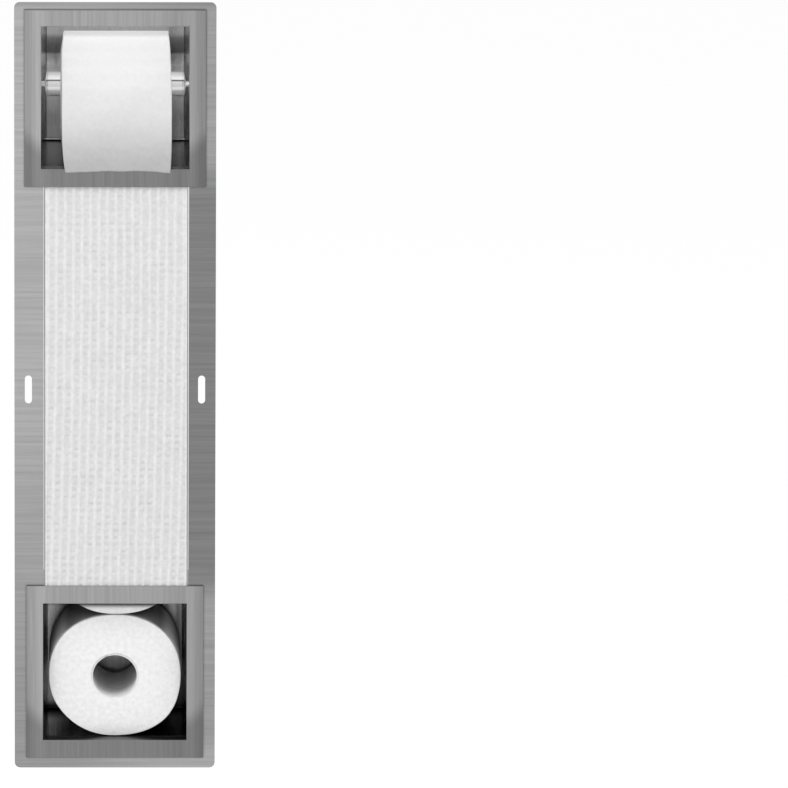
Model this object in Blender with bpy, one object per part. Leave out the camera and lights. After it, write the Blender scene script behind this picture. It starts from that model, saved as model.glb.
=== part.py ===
"""Recessed toilet roll holder with a shaft of spare rolls, in brushed stainless steel.

The unit is let into a wall. X runs across it, +Y into the wall and Z up. The origin lies on the
flange's back face, in the middle of its bottom strip, where the flange bears on the wall.
Lengths are in metres, and heights are measured from the flange's bottom edge.
"""

import math

import bmesh
import bpy
from mathutils import Matrix, Vector

# Clearances and small shared sizes
GAP = 0.0003
CUT_OVERRUN = 0.002
MERGE_DISTANCE = 0.000001
BEND_STEPS = 4

# Wall flange
FLANGE_SIDE = 0.0214
FLANGE_HEIGHT = 0.700
FLANGE_SHEET = 0.0015
FLANGE_CORNER_RADIUS = 0.005
FLANGE_CORNER_STEPS = 8
ORIGIN_HEIGHT = 0.012
SLOT_WIDTH = 0.0063
SLOT_LENGTH = 0.0258
SLOT_INSET = 0.0125
SLOT_BELOW_MIDDLE = 0.002
SLOT_END_STEPS = 10

# Trim frames: a flat border with a folded rim outside and a sleeve inside
FRAME_SIDE_BORDER = 0.0149
FRAME_FOOT_BORDER = 0.0164
UPPER_HEAD_BORDER = 0.0148
LOWER_HEAD_BORDER = 0.0161
FRAME_SHEET = 0.001
FRAME_RIM = 0.0022
FRAME_SEAT_GAP = 0.0005
FRAME_EDGE = 0.0003
SLEEVE_DEPTH = 0.0105
UPPER_CENTRE_DROP = 0.086
LOWER_CENTRE_HEIGHT = 0.089

# Sheet metal boxes behind the two openings
BOX_SHEET = 0.001
BOX_BEND_RADIUS = 0.0015
BOX_DRAFT = 0.005
CEILING_FALL = 0.013

# Shaft for the spare rolls
SHAFT_SIDE_GAP = 0.0025
SHOULDER_FRONT_STRIP = 0.005
SHOULDER_BACK_LIP = 0.006

# Centre panel and the tray that holds it
TRAY_SHEET = 0.0008
TRAY_SIDE_SHIFT = 0.001
PANEL_OVERLAP = 0.0015
PANEL_THICKNESS = 0.0035
PANEL_PROUD = 0.0002
PANEL_RIBS = 16
RIB_HEIGHT = 0.0006
RIB_CREST_SHARE = 0.45
RIB_SLOPE_SHARE = 0.12

# Spindle
SPINDLE_RADIUS = 0.011
BARREL_WALL = 0.0014
BARREL_SPARE = 0.0226
SPINDLE_EDGE = 0.0003
CAP_RIM_LENGTH = 0.001
CAP_CONE_LENGTH = 0.0014
CAP_NECK_RADIUS = 0.0036
CAP_SPIGOT_LENGTH = 0.006
PIN_RADIUS = 0.0025
PIN_END_GAP = 0.0005
PIN_TIP_ROUND = 0.001
PLUNGER_COLLAR_RADIUS = 0.0085
PLUNGER_COLLAR_LENGTH = 0.002
PLUNGER_NOSE_RADIUS = 0.005
PLUNGER_NOSE_LENGTH = 0.006
CUP_RADIUS = 0.007
CUP_LENGTH = 0.0056
CUP_FLOOR = 0.0016
TURNED_STEPS = 40

# Spring inside the barrel
SPRING_LENGTH = 0.024
SPRING_COIL_RADIUS = 0.007
SPRING_WIRE_DIAMETER = 0.001
SPRING_TURNS = 7
SPRING_POINTS_PER_TURN = 12
SEAT_THICKNESS = 0.002
SEAT_HOLE_RADIUS = 0.003

# Paper rolls
ROLL_LENGTH = 0.098
CORE_BORE = 0.040
CORE_WALL = 0.0008
ROLL_IN_USE_DIAMETER = 0.111
ROLL_SIDE_GAP = 0.017
ROLL_TOP_GAP = 0.0178
ROLL_FLOOR_GAP = 0.0002
ROLL_FRONT_GAP = 0.0093
ROLL_BACK_GAP = 0.0197
ROLL_EDGE_ROUND = 0.0012
ROLL_STEPS = 64
CORE_STEPS = 40
SPARE_ROLL_WIDTH = 0.119
SPARE_SQUASH_SHARE = 0.941
SPARE_CORE_DROP = 0.0014
SPARE_FRONT_GAP = 0.001
SPARE_SIDE_GAP = 0.005
SPARE_TOP_GAP = 0.014
SPARE_BACK_GAP = 0.0085

# Hanging end of the paper
TAIL_SHEET = 0.0005
TAIL_WRAP_DEGREES = 70
TAIL_LEAVE_DEGREES = 45
TAIL_END_DEGREES = 10
TAIL_OVERHANG = 0.0023
TAIL_END_WIDTH = 0.0932
TAIL_EDGE_RISE = 0.0018
TAIL_RIPPLE = 0.0006
TAIL_WRAP_STEPS = 8
TAIL_FALL_STEPS = 18
TAIL_CROSS_STEPS = 8

# Openings and boxes, which are sized by the rolls that they hold
SPARE_ROLL_HEIGHT = SPARE_ROLL_WIDTH * SPARE_SQUASH_SHARE
ROLL_RADIUS = ROLL_IN_USE_DIAMETER / 2
UPPER_OPENING_WIDTH = ROLL_LENGTH + 2 * ROLL_SIDE_GAP
UPPER_OPENING_HEIGHT = ROLL_IN_USE_DIAMETER + ROLL_TOP_GAP + ROLL_FLOOR_GAP
LOWER_OPENING_WIDTH = SPARE_ROLL_WIDTH + 2 * SPARE_SIDE_GAP
LOWER_OPENING_HEIGHT = SPARE_ROLL_HEIGHT + SPARE_TOP_GAP
SPINDLE_DEPTH = ROLL_FRONT_GAP + ROLL_RADIUS
UPPER_DEPTH = SPINDLE_DEPTH + ROLL_RADIUS + ROLL_BACK_GAP
SPARE_ROLL_SETBACK = SLEEVE_DEPTH + SPARE_FRONT_GAP
LOWER_DEPTH = SPARE_ROLL_SETBACK + ROLL_LENGTH + SPARE_BACK_GAP
SHAFT_HALF = SPARE_ROLL_WIDTH / 2 + SHAFT_SIDE_GAP
PANEL_HALF = SHAFT_HALF + PANEL_OVERLAP
BARREL_HALF = (ROLL_LENGTH + BARREL_SPARE) / 2

# Levels and faces worked out from the sizes above
FLANGE_FRONT = -FLANGE_SHEET
FRAME_RIM_FOOT = FLANGE_FRONT - FRAME_SEAT_GAP
FRAME_FACE = FRAME_RIM_FOOT - FRAME_RIM
BOX_FRONT = FLANGE_FRONT + GAP
SLEEVE_END = SLEEVE_DEPTH + GAP
SLEEVE_FIT = FRAME_SHEET + GAP
UPPER_CENTRE_HEIGHT = FLANGE_HEIGHT - UPPER_CENTRE_DROP
UPPER_HALF = UPPER_OPENING_WIDTH / 2 + SLEEVE_FIT
LOWER_HALF = LOWER_OPENING_WIDTH / 2 + SLEEVE_FIT
UPPER_WINDOW_HALF = UPPER_HALF + BOX_SHEET + GAP
LOWER_WINDOW_HALF = LOWER_HALF + BOX_SHEET + GAP
FLANGE_HALF = max(UPPER_WINDOW_HALF, LOWER_WINDOW_HALF) + FLANGE_SIDE
SLOT_SIDE = FLANGE_HALF - SLOT_INSET
SLOT_HEIGHT = FLANGE_HEIGHT / 2 - SLOT_BELOW_MIDDLE
PANEL_FRONT = FLANGE_FRONT - PANEL_PROUD
TRAY_FACE = PANEL_FRONT + PANEL_THICKNESS + GAP
TRAY_BACK = TRAY_FACE + TRAY_SHEET
TRAY_HALF = PANEL_HALF + GAP + TRAY_SHEET
SHAFT_FRONT = TRAY_BACK + GAP
CORE_RADIUS = CORE_BORE / 2 + CORE_WALL
ROLL_DROP = CORE_BORE / 2 - SPINDLE_RADIUS - GAP
BARREL_BORE = SPINDLE_RADIUS - BARREL_WALL
PIN_BORE = PIN_RADIUS + GAP
CAP_JOINT = BARREL_HALF + GAP
CAP_NECK = CAP_JOINT + CAP_RIM_LENGTH + CAP_CONE_LENGTH


def level(height):
    """Z of a height that is measured from the flange's bottom edge."""
    return height - ORIGIN_HEIGHT


UPPER_LOW = level(UPPER_CENTRE_HEIGHT - UPPER_OPENING_HEIGHT / 2)
UPPER_HIGH = level(UPPER_CENTRE_HEIGHT + UPPER_OPENING_HEIGHT / 2)
LOWER_LOW = level(LOWER_CENTRE_HEIGHT - LOWER_OPENING_HEIGHT / 2)
LOWER_HIGH = level(LOWER_CENTRE_HEIGHT + LOWER_OPENING_HEIGHT / 2)
UPPER_FLOOR = UPPER_LOW - SLEEVE_FIT
UPPER_CEILING = UPPER_HIGH + SLEEVE_FIT
LOWER_FLOOR_FRONT = LOWER_LOW - SLEEVE_FIT
SHOULDER_LOW = LOWER_HIGH + SLEEVE_FIT
SHOULDER_HIGH = SHOULDER_LOW + BOX_SHEET
SHAFT_TOP = UPPER_FLOOR - BOX_SHEET - GAP
ROLL_AXIS = Vector((0, SPINDLE_DEPTH, UPPER_LOW + ROLL_FLOOR_GAP + ROLL_RADIUS))
SPINDLE_AXIS = ROLL_AXIS + Vector((0, 0, ROLL_DROP))
SPARE_ROLLS = int((SHAFT_TOP - LOWER_LOW) / (SPARE_ROLL_HEIGHT + GAP))


def clear_scene():
    for obj in list(bpy.data.objects):
        bpy.data.objects.remove(obj, do_unlink=True)


def material(name, colour, roughness, metallic):
    made = bpy.data.materials.new(name)
    made.use_nodes = True
    made.diffuse_color = (*colour, 1)
    shader = made.node_tree.nodes["Principled BSDF"]
    shader.inputs["Base Color"].default_value = (*colour, 1)
    shader.inputs["Roughness"].default_value = roughness
    shader.inputs["Metallic"].default_value = metallic
    return made


def brushed_steel(name):
    return material(name, (0.60, 0.60, 0.60), 0.34, 1)


def polished_steel(name):
    return material(name, (0.78, 0.78, 0.79), 0.12, 1)


def tissue(name):
    return material(name, (0.88, 0.88, 0.87), 0.9, 0)


def cardboard(name):
    return material(name, (0.62, 0.60, 0.57), 0.85, 0)


def white_plastic(name):
    return material(name, (0.80, 0.80, 0.80), 0.6, 0)


def axis_empty(name, place):
    """An empty on a joint's axis, which carries the pieces that turn or slide together."""
    empty = bpy.data.objects.new(name, None)
    empty.empty_display_size = GAP
    empty.location = place
    bpy.context.scene.collection.objects.link(empty)
    return empty


def finish(name, shape, finish_material, parent=None, smooth_degrees=None):
    """Turns a bmesh drawn in world coordinates into an object whose origin is its parent's place."""
    bmesh.ops.remove_doubles(shape, verts=shape.verts, dist=MERGE_DISTANCE)
    bmesh.ops.recalc_face_normals(shape, faces=shape.faces)
    if parent:
        bmesh.ops.translate(shape, verts=shape.verts, vec=-parent.location)
    mesh = bpy.data.meshes.new(name)
    shape.to_mesh(mesh)
    shape.free()
    if smooth_degrees:
        mesh.shade_smooth()
        mesh.set_sharp_from_angle(angle=math.radians(smooth_degrees))
    obj = bpy.data.objects.new(name, mesh)
    obj.data.materials.append(finish_material)
    obj.parent = parent
    bpy.context.scene.collection.objects.link(obj)
    return obj


def prism(outline, axis, start, end):
    """An outline drawn across an axis and extruded along it. The outline's pairs keep X, Y, Z order."""
    shape = bmesh.new()
    number = "XYZ".index(axis)
    corners = []
    for first, second in outline:
        place = [first, second]
        place.insert(number, start)
        corners.append(shape.verts.new(place))
    face = shape.faces.new(corners)
    swept = bmesh.ops.extrude_face_region(shape, geom=[face])
    moved = [item for item in swept["geom"] if isinstance(item, bmesh.types.BMVert)]
    shift = Vector((0, 0, 0))
    shift[number] = end - start
    bmesh.ops.translate(shape, verts=moved, vec=shift)
    return shape


def rectangle(low_a, high_a, low_b, high_b):
    return [(low_a, low_b), (high_a, low_b), (high_a, high_b), (low_a, high_b)]


def arc(centre, radius, from_degrees, to_degrees, steps):
    """Points along an arc, both ends included."""
    points = []
    for step in range(steps + 1):
        angle = math.radians(from_degrees + (to_degrees - from_degrees) * step / steps)
        points.append((centre[0] + radius * math.cos(angle), centre[1] + radius * math.sin(angle)))
    return points


def rounded_rectangle(low_a, high_a, low_b, high_b, radius, steps):
    outline = []
    quarters = (
        (high_a - radius, high_b - radius, 0),
        (low_a + radius, high_b - radius, 90),
        (low_a + radius, low_b + radius, 180),
        (high_a - radius, low_b + radius, 270),
    )
    for a, b, first in quarters:
        outline += arc((a, b), radius, first, first + 90, steps)
    return outline


def bent_path(points, radius, steps):
    """A path whose corners are rounded to a radius."""
    path = [Vector(points[0])]
    for before, corner, after in zip(points, points[1:], points[2:]):
        incoming = (Vector(corner) - Vector(before)).normalized()
        outgoing = (Vector(after) - Vector(corner)).normalized()
        turn = incoming.angle(outgoing)
        inwards = (outgoing - incoming * incoming.dot(outgoing)).normalized()
        centre = Vector(corner) - incoming * radius * math.tan(turn / 2) + inwards * radius
        for step in range(steps + 1):
            angle = turn * step / steps
            path.append(centre - inwards * radius * math.cos(angle) + incoming * radius * math.sin(angle))
    path.append(Vector(points[-1]))
    return path


def sheet_outline(path, thickness):
    """A path of a sheet's inner face, thickened to its left, or to its right if negative."""
    outer = []
    for number, point in enumerate(path):
        before = path[max(number - 1, 0)]
        after = path[min(number + 1, len(path) - 1)]
        first = (point - before).normalized() if number else (after - point).normalized()
        second = (after - point).normalized() if number < len(path) - 1 else first
        left = Vector((-first.y, first.x)) + Vector((-second.y, second.x))
        left = left / (1 + first.dot(second))
        outer.append(point + left * thickness)
    return [tuple(point) for point in path + outer[::-1]]


def turned(profile, axis, centre, steps, closed):
    """A profile of (along, radius) pairs spun about an axis through the centre.

    A closed profile makes a ring. An open one starts and ends on the axis.
    """
    shape = bmesh.new()
    verts = [shape.verts.new((along, 0, radius)) for along, radius in profile]
    pairs = list(zip(verts, verts[1:]))
    if closed:
        pairs.append((verts[-1], verts[0]))
    edges = [shape.edges.new(pair) for pair in pairs]
    whole = {"cent": (0, 0, 0), "axis": (1, 0, 0), "angle": 2 * math.pi}
    bmesh.ops.spin(shape, geom=verts + edges, steps=steps, use_merge=True, **whole)
    turn = Matrix.Rotation(math.pi / 2, 4, "Z") if axis == "Y" else Matrix.Identity(4)
    bmesh.ops.transform(shape, matrix=Matrix.Translation(centre) @ turn, verts=shape.verts)
    return shape


def mitred_ring(side_profile, head_profile, foot_profile, half_width, low, high):
    """Closed profiles of (outwards, y) pairs carried round a rectangular opening with mitred corners."""
    shape = bmesh.new()
    rings = []
    for (side_out, y), (head_out, _), (foot_out, _) in zip(side_profile, head_profile, foot_profile):
        side = half_width + side_out
        top = high + head_out
        bottom = low - foot_out
        corners = ((-side, bottom), (side, bottom), (side, top), (-side, top))
        rings.append([shape.verts.new((x, y, z)) for x, z in corners])
    for ring, following in zip(rings, rings[1:] + rings[:1]):
        for corner in range(4):
            beside = (corner + 1) % 4
            shape.faces.new((ring[corner], ring[beside], following[beside], following[corner]))
    return shape


def cutter(name, shape):
    """A shape that only cuts: it is drawn as wires and left out of the model."""
    obj = finish(name, shape, material(name, (1, 0, 0), 1, 0))
    obj.hide_render = True
    obj.display_type = "WIRE"
    return obj


def cut(obj, tool):
    modifier = obj.modifiers.new(tool.name, "BOOLEAN")
    modifier.operation = "DIFFERENCE"
    modifier.object = tool


def window_outline():
    """The flange's one long window: wide at both boxes and narrower along the panel tray."""
    upper = UPPER_WINDOW_HALF
    lower = LOWER_WINDOW_HALF
    top = UPPER_CEILING + BOX_SHEET + GAP
    upper_step = UPPER_FLOOR - BOX_SHEET - GAP
    lower_step = SHOULDER_LOW
    bottom = LOWER_FLOOR_FRONT - BOX_SHEET - GAP
    outline = []
    for side in (1, -1):
        middle = side * (TRAY_HALF + GAP) + TRAY_SIDE_SHIFT
        half = [
            (side * lower, bottom),
            (side * lower, lower_step),
            (middle, lower_step),
            (middle, upper_step),
            (side * upper, upper_step),
            (side * upper, top),
        ]
        outline += half[::side]
    return outline


def slot_outline(centre_x):
    """A slot with round ends, standing upright."""
    radius = SLOT_WIDTH / 2
    reach = SLOT_LENGTH / 2 - radius
    middle = level(SLOT_HEIGHT)
    outline = arc((centre_x, middle + reach), radius, 0, 180, SLOT_END_STEPS)
    outline += arc((centre_x, middle - reach), radius, 180, 360, SLOT_END_STEPS)
    return outline


def make_wall_flange():
    half = FLANGE_HALF
    outline = rounded_rectangle(
        -half, half, level(0), level(FLANGE_HEIGHT), FLANGE_CORNER_RADIUS, FLANGE_CORNER_STEPS
    )
    shape = prism(outline, "Y", FLANGE_FRONT, 0)
    flange = finish("wall_flange", shape, brushed_steel("flange_steel"), smooth_degrees=30)
    front = FLANGE_FRONT - CUT_OVERRUN
    cut(flange, cutter("window_cutter", prism(window_outline(), "Y", front, CUT_OVERRUN)))
    for name, side in (("left", -1), ("right", 1)):
        outline = slot_outline(side * SLOT_SIDE)
        cut(flange, cutter(f"slot_cutter_{name}", prism(outline, "Y", front, CUT_OVERRUN)))


def frame_profile(border):
    """One side of a trim frame seen from its end: sleeve, flat border and rim."""
    return [
        (0, SLEEVE_DEPTH),
        (0, FRAME_FACE + FRAME_EDGE),
        (FRAME_EDGE, FRAME_FACE),
        (border - FRAME_EDGE, FRAME_FACE),
        (border, FRAME_FACE + FRAME_EDGE),
        (border, FRAME_RIM_FOOT),
        (border - FRAME_SHEET, FRAME_RIM_FOOT),
        (border - FRAME_SHEET, FRAME_FACE + FRAME_SHEET),
        (FRAME_SHEET, FRAME_FACE + FRAME_SHEET),
        (FRAME_SHEET, SLEEVE_DEPTH),
    ]


def make_trim_frame(name, width, low, high, head_border, parent):
    """A frame folded from one sheet. Its lower border is the widest one."""
    profiles = [frame_profile(border) for border in (FRAME_SIDE_BORDER, head_border, FRAME_FOOT_BORDER)]
    shape = mitred_ring(*profiles, width / 2, low, high)
    finish(name, shape, brushed_steel(f"{name}_steel"), parent)


def ceiling_height(y):
    """The ceiling's inner face. It is level over the sleeve and falls from there to the back."""
    return UPPER_CEILING - CEILING_FALL * max(y - SLEEVE_END, 0) / (UPPER_DEPTH - SLEEVE_END)


def make_upper_wrap():
    """Ceiling, back and floor of the upper box, bent from one sheet."""
    corners = [
        (SLEEVE_END, UPPER_CEILING),
        (UPPER_DEPTH, ceiling_height(UPPER_DEPTH)),
        (UPPER_DEPTH, UPPER_FLOOR),
        (BOX_FRONT, UPPER_FLOOR),
    ]
    path = [Vector((BOX_FRONT, UPPER_CEILING))] + bent_path(corners, BOX_BEND_RADIUS, BEND_STEPS)
    outline = sheet_outline(path, BOX_SHEET)
    half = UPPER_HALF + BOX_SHEET
    shape = prism(outline, "X", -half, half)
    finish("upper_box_wrap", shape, brushed_steel("upper_wrap_steel"), smooth_degrees=30)


def make_lower_wrap():
    """Floor and back of the lower box. The floor steps up behind the sleeve to lie flush with the lip."""
    rise = LOWER_LOW - LOWER_FLOOR_FRONT
    front = [Vector((BOX_FRONT, LOWER_FLOOR_FRONT)), Vector((SLEEVE_END, LOWER_FLOOR_FRONT))]
    corners = [
        (SLEEVE_END + rise, LOWER_LOW),
        (LOWER_DEPTH, LOWER_LOW),
        (LOWER_DEPTH, SHOULDER_LOW - GAP),
    ]
    path = front + bent_path(corners, BOX_BEND_RADIUS, BEND_STEPS)
    half = LOWER_HALF + BOX_SHEET
    shape = prism(sheet_outline(path, -BOX_SHEET), "X", -half, half)
    finish("lower_box_wrap", shape, brushed_steel("lower_wrap_steel"), smooth_degrees=30)


def drawn_in(y, depth):
    """How far a cheek has come inwards at a distance into the box. It stays straight beside the sleeve."""
    return BOX_DRAFT * max(y - SLEEVE_END, 0) / (depth - SLEEVE_END)


def lean(shape, side, depth):
    """Leans an upright plate inwards from the sleeve's end to the back."""
    everything = shape.verts[:] + shape.edges[:] + shape.faces[:]
    bend = Vector((0, SLEEVE_END, 0))
    bmesh.ops.bisect_plane(shape, geom=everything, plane_co=bend, plane_no=Vector((0, 1, 0)))
    for vert in shape.verts:
        vert.co.x -= side * drawn_in(vert.co.y, depth)


def make_upper_cheek(name, side):
    """A side wall of the upper box, with the hole that the spindle's pin passes."""
    low = UPPER_FLOOR + GAP
    high = UPPER_CEILING - GAP
    back = UPPER_DEPTH - GAP
    cropped = BOX_BEND_RADIUS
    outline = [
        (BOX_FRONT, low),
        (back - cropped, low),
        (back, low + cropped),
        (back, ceiling_height(back) - GAP - cropped),
        (back - cropped, ceiling_height(back - cropped) - GAP),
        (SLEEVE_END, high),
        (BOX_FRONT, high),
    ]
    shape = prism(outline, "X", side * UPPER_HALF, side * (UPPER_HALF + BOX_SHEET))
    lean(shape, side, UPPER_DEPTH)
    cheek = finish(name, shape, brushed_steel(f"{name}_steel"))
    inside = side * (UPPER_HALF - BOX_DRAFT)
    outside = side * (UPPER_HALF + BOX_SHEET + CUT_OVERRUN)
    hole = [(inside, 0), (inside, PIN_BORE), (outside, PIN_BORE), (outside, 0)]
    tool = turned(hole, "X", SPINDLE_AXIS, TURNED_STEPS, closed=False)
    cut(cheek, cutter(f"{name}_hole_cutter", tool))


def make_lower_cheek(name, side):
    """A side wall of the lower box. Its foot follows the step in the floor."""
    rise = LOWER_LOW - LOWER_FLOOR_FRONT
    step_start = SLEEVE_DEPTH
    low = LOWER_FLOOR_FRONT + GAP
    back = LOWER_DEPTH - GAP
    cropped = BOX_BEND_RADIUS
    outline = [
        (BOX_FRONT, low),
        (step_start, low),
        (step_start + rise, low + rise),
        (back - cropped, low + rise),
        (back, low + rise + cropped),
        (back, SHOULDER_LOW - GAP),
        (BOX_FRONT, SHOULDER_LOW - GAP),
    ]
    shape = prism(outline, "X", side * LOWER_HALF, side * (LOWER_HALF + BOX_SHEET))
    lean(shape, side, LOWER_DEPTH)
    finish(name, shape, brushed_steel(f"{name}_steel"))


def make_shaft_shoulder():
    """A flat ring that closes the step between the lower box and the narrower shaft."""
    outer = LOWER_HALF + BOX_SHEET
    back = LOWER_DEPTH + SHOULDER_BACK_LIP
    shape = prism(rectangle(-outer, outer, SHAFT_FRONT, back), "Z", SHOULDER_LOW, SHOULDER_HIGH)
    shoulder = finish("shaft_shoulder", shape, brushed_steel("shoulder_steel"))
    hole = rectangle(-SHAFT_HALF, SHAFT_HALF, SHAFT_FRONT + SHOULDER_FRONT_STRIP, LOWER_DEPTH)
    tool = prism(hole, "Z", SHOULDER_LOW - CUT_OVERRUN, SHOULDER_HIGH + CUT_OVERRUN)
    cut(shoulder, cutter("shoulder_cutter", tool))


def make_shaft_channel():
    """Sides and back of the shaft, bent from one sheet and open towards the tray."""
    corners = [
        (-SHAFT_HALF, SHAFT_FRONT),
        (-SHAFT_HALF, LOWER_DEPTH),
        (SHAFT_HALF, LOWER_DEPTH),
        (SHAFT_HALF, SHAFT_FRONT),
    ]
    outline = sheet_outline(bent_path(corners, BOX_BEND_RADIUS, BEND_STEPS), BOX_SHEET)
    shape = prism(outline, "Z", SHOULDER_HIGH + GAP, SHAFT_TOP)
    finish("shaft_channel", shape, brushed_steel("shaft_steel"), smooth_degrees=30)


def make_panel_tray():
    """A shallow tray with a lip down each side, let into the flange's window a little to the right."""
    left = TRAY_SIDE_SHIFT - TRAY_HALF
    right = TRAY_SIDE_SHIFT + TRAY_HALF
    outline = [
        (left, BOX_FRONT),
        (left + TRAY_SHEET, BOX_FRONT),
        (left + TRAY_SHEET, TRAY_FACE),
        (right - TRAY_SHEET, TRAY_FACE),
        (right - TRAY_SHEET, BOX_FRONT),
        (right, BOX_FRONT),
        (right, TRAY_BACK),
        (left, TRAY_BACK),
    ]
    shape = prism(outline, "Z", SHOULDER_LOW + GAP, SHAFT_TOP)
    finish("panel_tray", shape, brushed_steel("tray_steel"))


def make_centre_panel():
    """The white backer that tiles are glued to, with upright ribs."""
    left = TRAY_SIDE_SHIFT - PANEL_HALF
    right = TRAY_SIDE_SHIFT + PANEL_HALF
    pitch = 2 * PANEL_HALF / PANEL_RIBS
    valley = PANEL_FRONT + RIB_HEIGHT
    slope = pitch * RIB_SLOPE_SHARE
    crest = pitch * RIB_CREST_SHARE
    outline = [(left, PANEL_FRONT + PANEL_THICKNESS), (left, valley)]
    for rib in range(PANEL_RIBS):
        start = left + pitch * (rib + (1 - RIB_CREST_SHARE) / 2)
        outline.append((start - slope, valley))
        outline.append((start, PANEL_FRONT))
        outline.append((start + crest, PANEL_FRONT))
        outline.append((start + crest + slope, valley))
    outline += [(right, valley), (right, PANEL_FRONT + PANEL_THICKNESS)]
    shape = prism(outline, "Z", SHOULDER_LOW + GAP, SHAFT_TOP)
    finish("centre_panel", shape, white_plastic("panel_backer"))


def cup_start():
    """Where the cups begin, just outside the cheek at the cup's front edge."""
    return UPPER_HALF - drawn_in(SPINDLE_DEPTH - CUP_RADIUS, UPPER_DEPTH) + BOX_SHEET + GAP


def cap_outer_profile(inner_radius):
    """The visible outline of a cap from its spigot to its neck, as distances from the spindle's middle."""
    rim = CAP_JOINT + CAP_RIM_LENGTH
    spigot = BARREL_BORE - GAP
    return [
        (CAP_JOINT - CAP_SPIGOT_LENGTH, inner_radius),
        (CAP_JOINT - CAP_SPIGOT_LENGTH, spigot),
        (CAP_JOINT, spigot),
        (CAP_JOINT, SPINDLE_RADIUS - SPINDLE_EDGE),
        (CAP_JOINT + SPINDLE_EDGE, SPINDLE_RADIUS),
        (rim - SPINDLE_EDGE, SPINDLE_RADIUS),
        (rim, SPINDLE_RADIUS - SPINDLE_EDGE),
        (CAP_NECK, CAP_NECK_RADIUS),
    ]


def pin_profile():
    """The pin from the cap's neck to its rounded tip."""
    tip = cup_start() + CUP_LENGTH - CUP_FLOOR - PIN_END_GAP
    return [
        (CAP_NECK, PIN_RADIUS),
        (tip - PIN_TIP_ROUND, PIN_RADIUS),
        (tip, PIN_RADIUS - PIN_TIP_ROUND),
        (tip, 0),
    ]


def make_spindle(carrier, plunger_carrier):
    half = BARREL_HALF
    barrel = [
        (-half, BARREL_BORE),
        (-half, SPINDLE_RADIUS - SPINDLE_EDGE),
        (-half + SPINDLE_EDGE, SPINDLE_RADIUS),
        (half - SPINDLE_EDGE, SPINDLE_RADIUS),
        (half, SPINDLE_RADIUS - SPINDLE_EDGE),
        (half, BARREL_BORE),
    ]
    shape = turned(barrel, "X", SPINDLE_AXIS, TURNED_STEPS, closed=True)
    finish("spindle_barrel", shape, polished_steel("barrel_steel"), carrier, 30)

    left = [(-along, radius) for along, radius in cap_outer_profile(0) + pin_profile()]
    shape = turned(left, "X", SPINDLE_AXIS, TURNED_STEPS, closed=False)
    finish("spindle_cap_left", shape, polished_steel("left_cap_steel"), carrier, 30)

    right = cap_outer_profile(PIN_BORE) + [(CAP_NECK, PIN_BORE)]
    shape = turned(right, "X", SPINDLE_AXIS, TURNED_STEPS, closed=True)
    finish("spindle_cap_right", shape, polished_steel("right_cap_steel"), carrier, 30)

    collar_face = CAP_JOINT - CAP_SPIGOT_LENGTH - GAP
    collar_back = collar_face - PLUNGER_COLLAR_LENGTH
    plunger = [
        (collar_back - PLUNGER_NOSE_LENGTH, 0),
        (collar_back - PLUNGER_NOSE_LENGTH, PLUNGER_NOSE_RADIUS),
        (collar_back, PLUNGER_NOSE_RADIUS),
        (collar_back, PLUNGER_COLLAR_RADIUS),
        (collar_face, PLUNGER_COLLAR_RADIUS),
        (collar_face, PIN_RADIUS),
    ]
    shape = turned(plunger + pin_profile()[1:], "X", SPINDLE_AXIS, TURNED_STEPS, closed=False)
    finish("spindle_plunger", shape, polished_steel("plunger_steel"), plunger_carrier, 30)

    spring_end = collar_back - GAP
    make_spring(carrier, spring_end)
    seat_face = spring_end - SPRING_LENGTH - GAP
    seat_rim = BARREL_BORE - GAP
    seat = [
        (seat_face - SEAT_THICKNESS, SEAT_HOLE_RADIUS),
        (seat_face - SEAT_THICKNESS, seat_rim),
        (seat_face, seat_rim),
        (seat_face, SEAT_HOLE_RADIUS),
    ]
    shape = turned(seat, "X", SPINDLE_AXIS, TURNED_STEPS, closed=True)
    finish("spindle_spring_seat", shape, polished_steel("seat_steel"), carrier, 30)


def make_spring(carrier, end):
    """A compression spring wound as one helix along the spindle, ending at a distance from its middle."""
    run = SPRING_LENGTH - SPRING_WIRE_DIAMETER
    start = end - SPRING_WIRE_DIAMETER / 2 - run
    count = SPRING_TURNS * SPRING_POINTS_PER_TURN
    points = []
    for number in range(count + 1):
        angle = 2 * math.pi * number / SPRING_POINTS_PER_TURN
        x = start + run * number / count
        y = SPRING_COIL_RADIUS * math.cos(angle)
        points.append(Vector((x, y, SPRING_COIL_RADIUS * math.sin(angle))))
    half_turn = SPRING_POINTS_PER_TURN // 2
    nearest = min(
        (points[b] - points[a]).length for a in range(count) for b in range(a + half_turn, count + 1)
    )
    print(f"least gap of the spring to itself: {(nearest - SPRING_WIRE_DIAMETER) * 1000:.2f} mm")
    curve = bpy.data.curves.new("spindle_spring", "CURVE")
    curve.dimensions = "3D"
    curve.bevel_depth = SPRING_WIRE_DIAMETER / 2
    curve.bevel_resolution = 1
    curve.use_fill_caps = True
    spline = curve.splines.new("POLY")
    spline.points.add(count)
    for point, place in zip(spline.points, points):
        point.co = (*place, 1)
    spring = bpy.data.objects.new("spindle_spring", curve)
    spring.data.materials.append(polished_steel("spring_steel"))
    spring.parent = carrier
    bpy.context.scene.collection.objects.link(spring)


def make_spindle_cup(name, side):
    """A blind cup outside the cheek that a pin's end rests in."""
    start = cup_start()
    end = start + CUP_LENGTH
    profile = [
        (side * (end - CUP_FLOOR), 0),
        (side * (end - CUP_FLOOR), PIN_BORE),
        (side * start, PIN_BORE),
        (side * start, CUP_RADIUS),
        (side * end, CUP_RADIUS),
        (side * end, 0),
    ]
    shape = turned(profile, "X", SPINDLE_AXIS, TURNED_STEPS, closed=False)
    finish(name, shape, white_plastic(f"{name}_plastic"), smooth_degrees=30)


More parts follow.
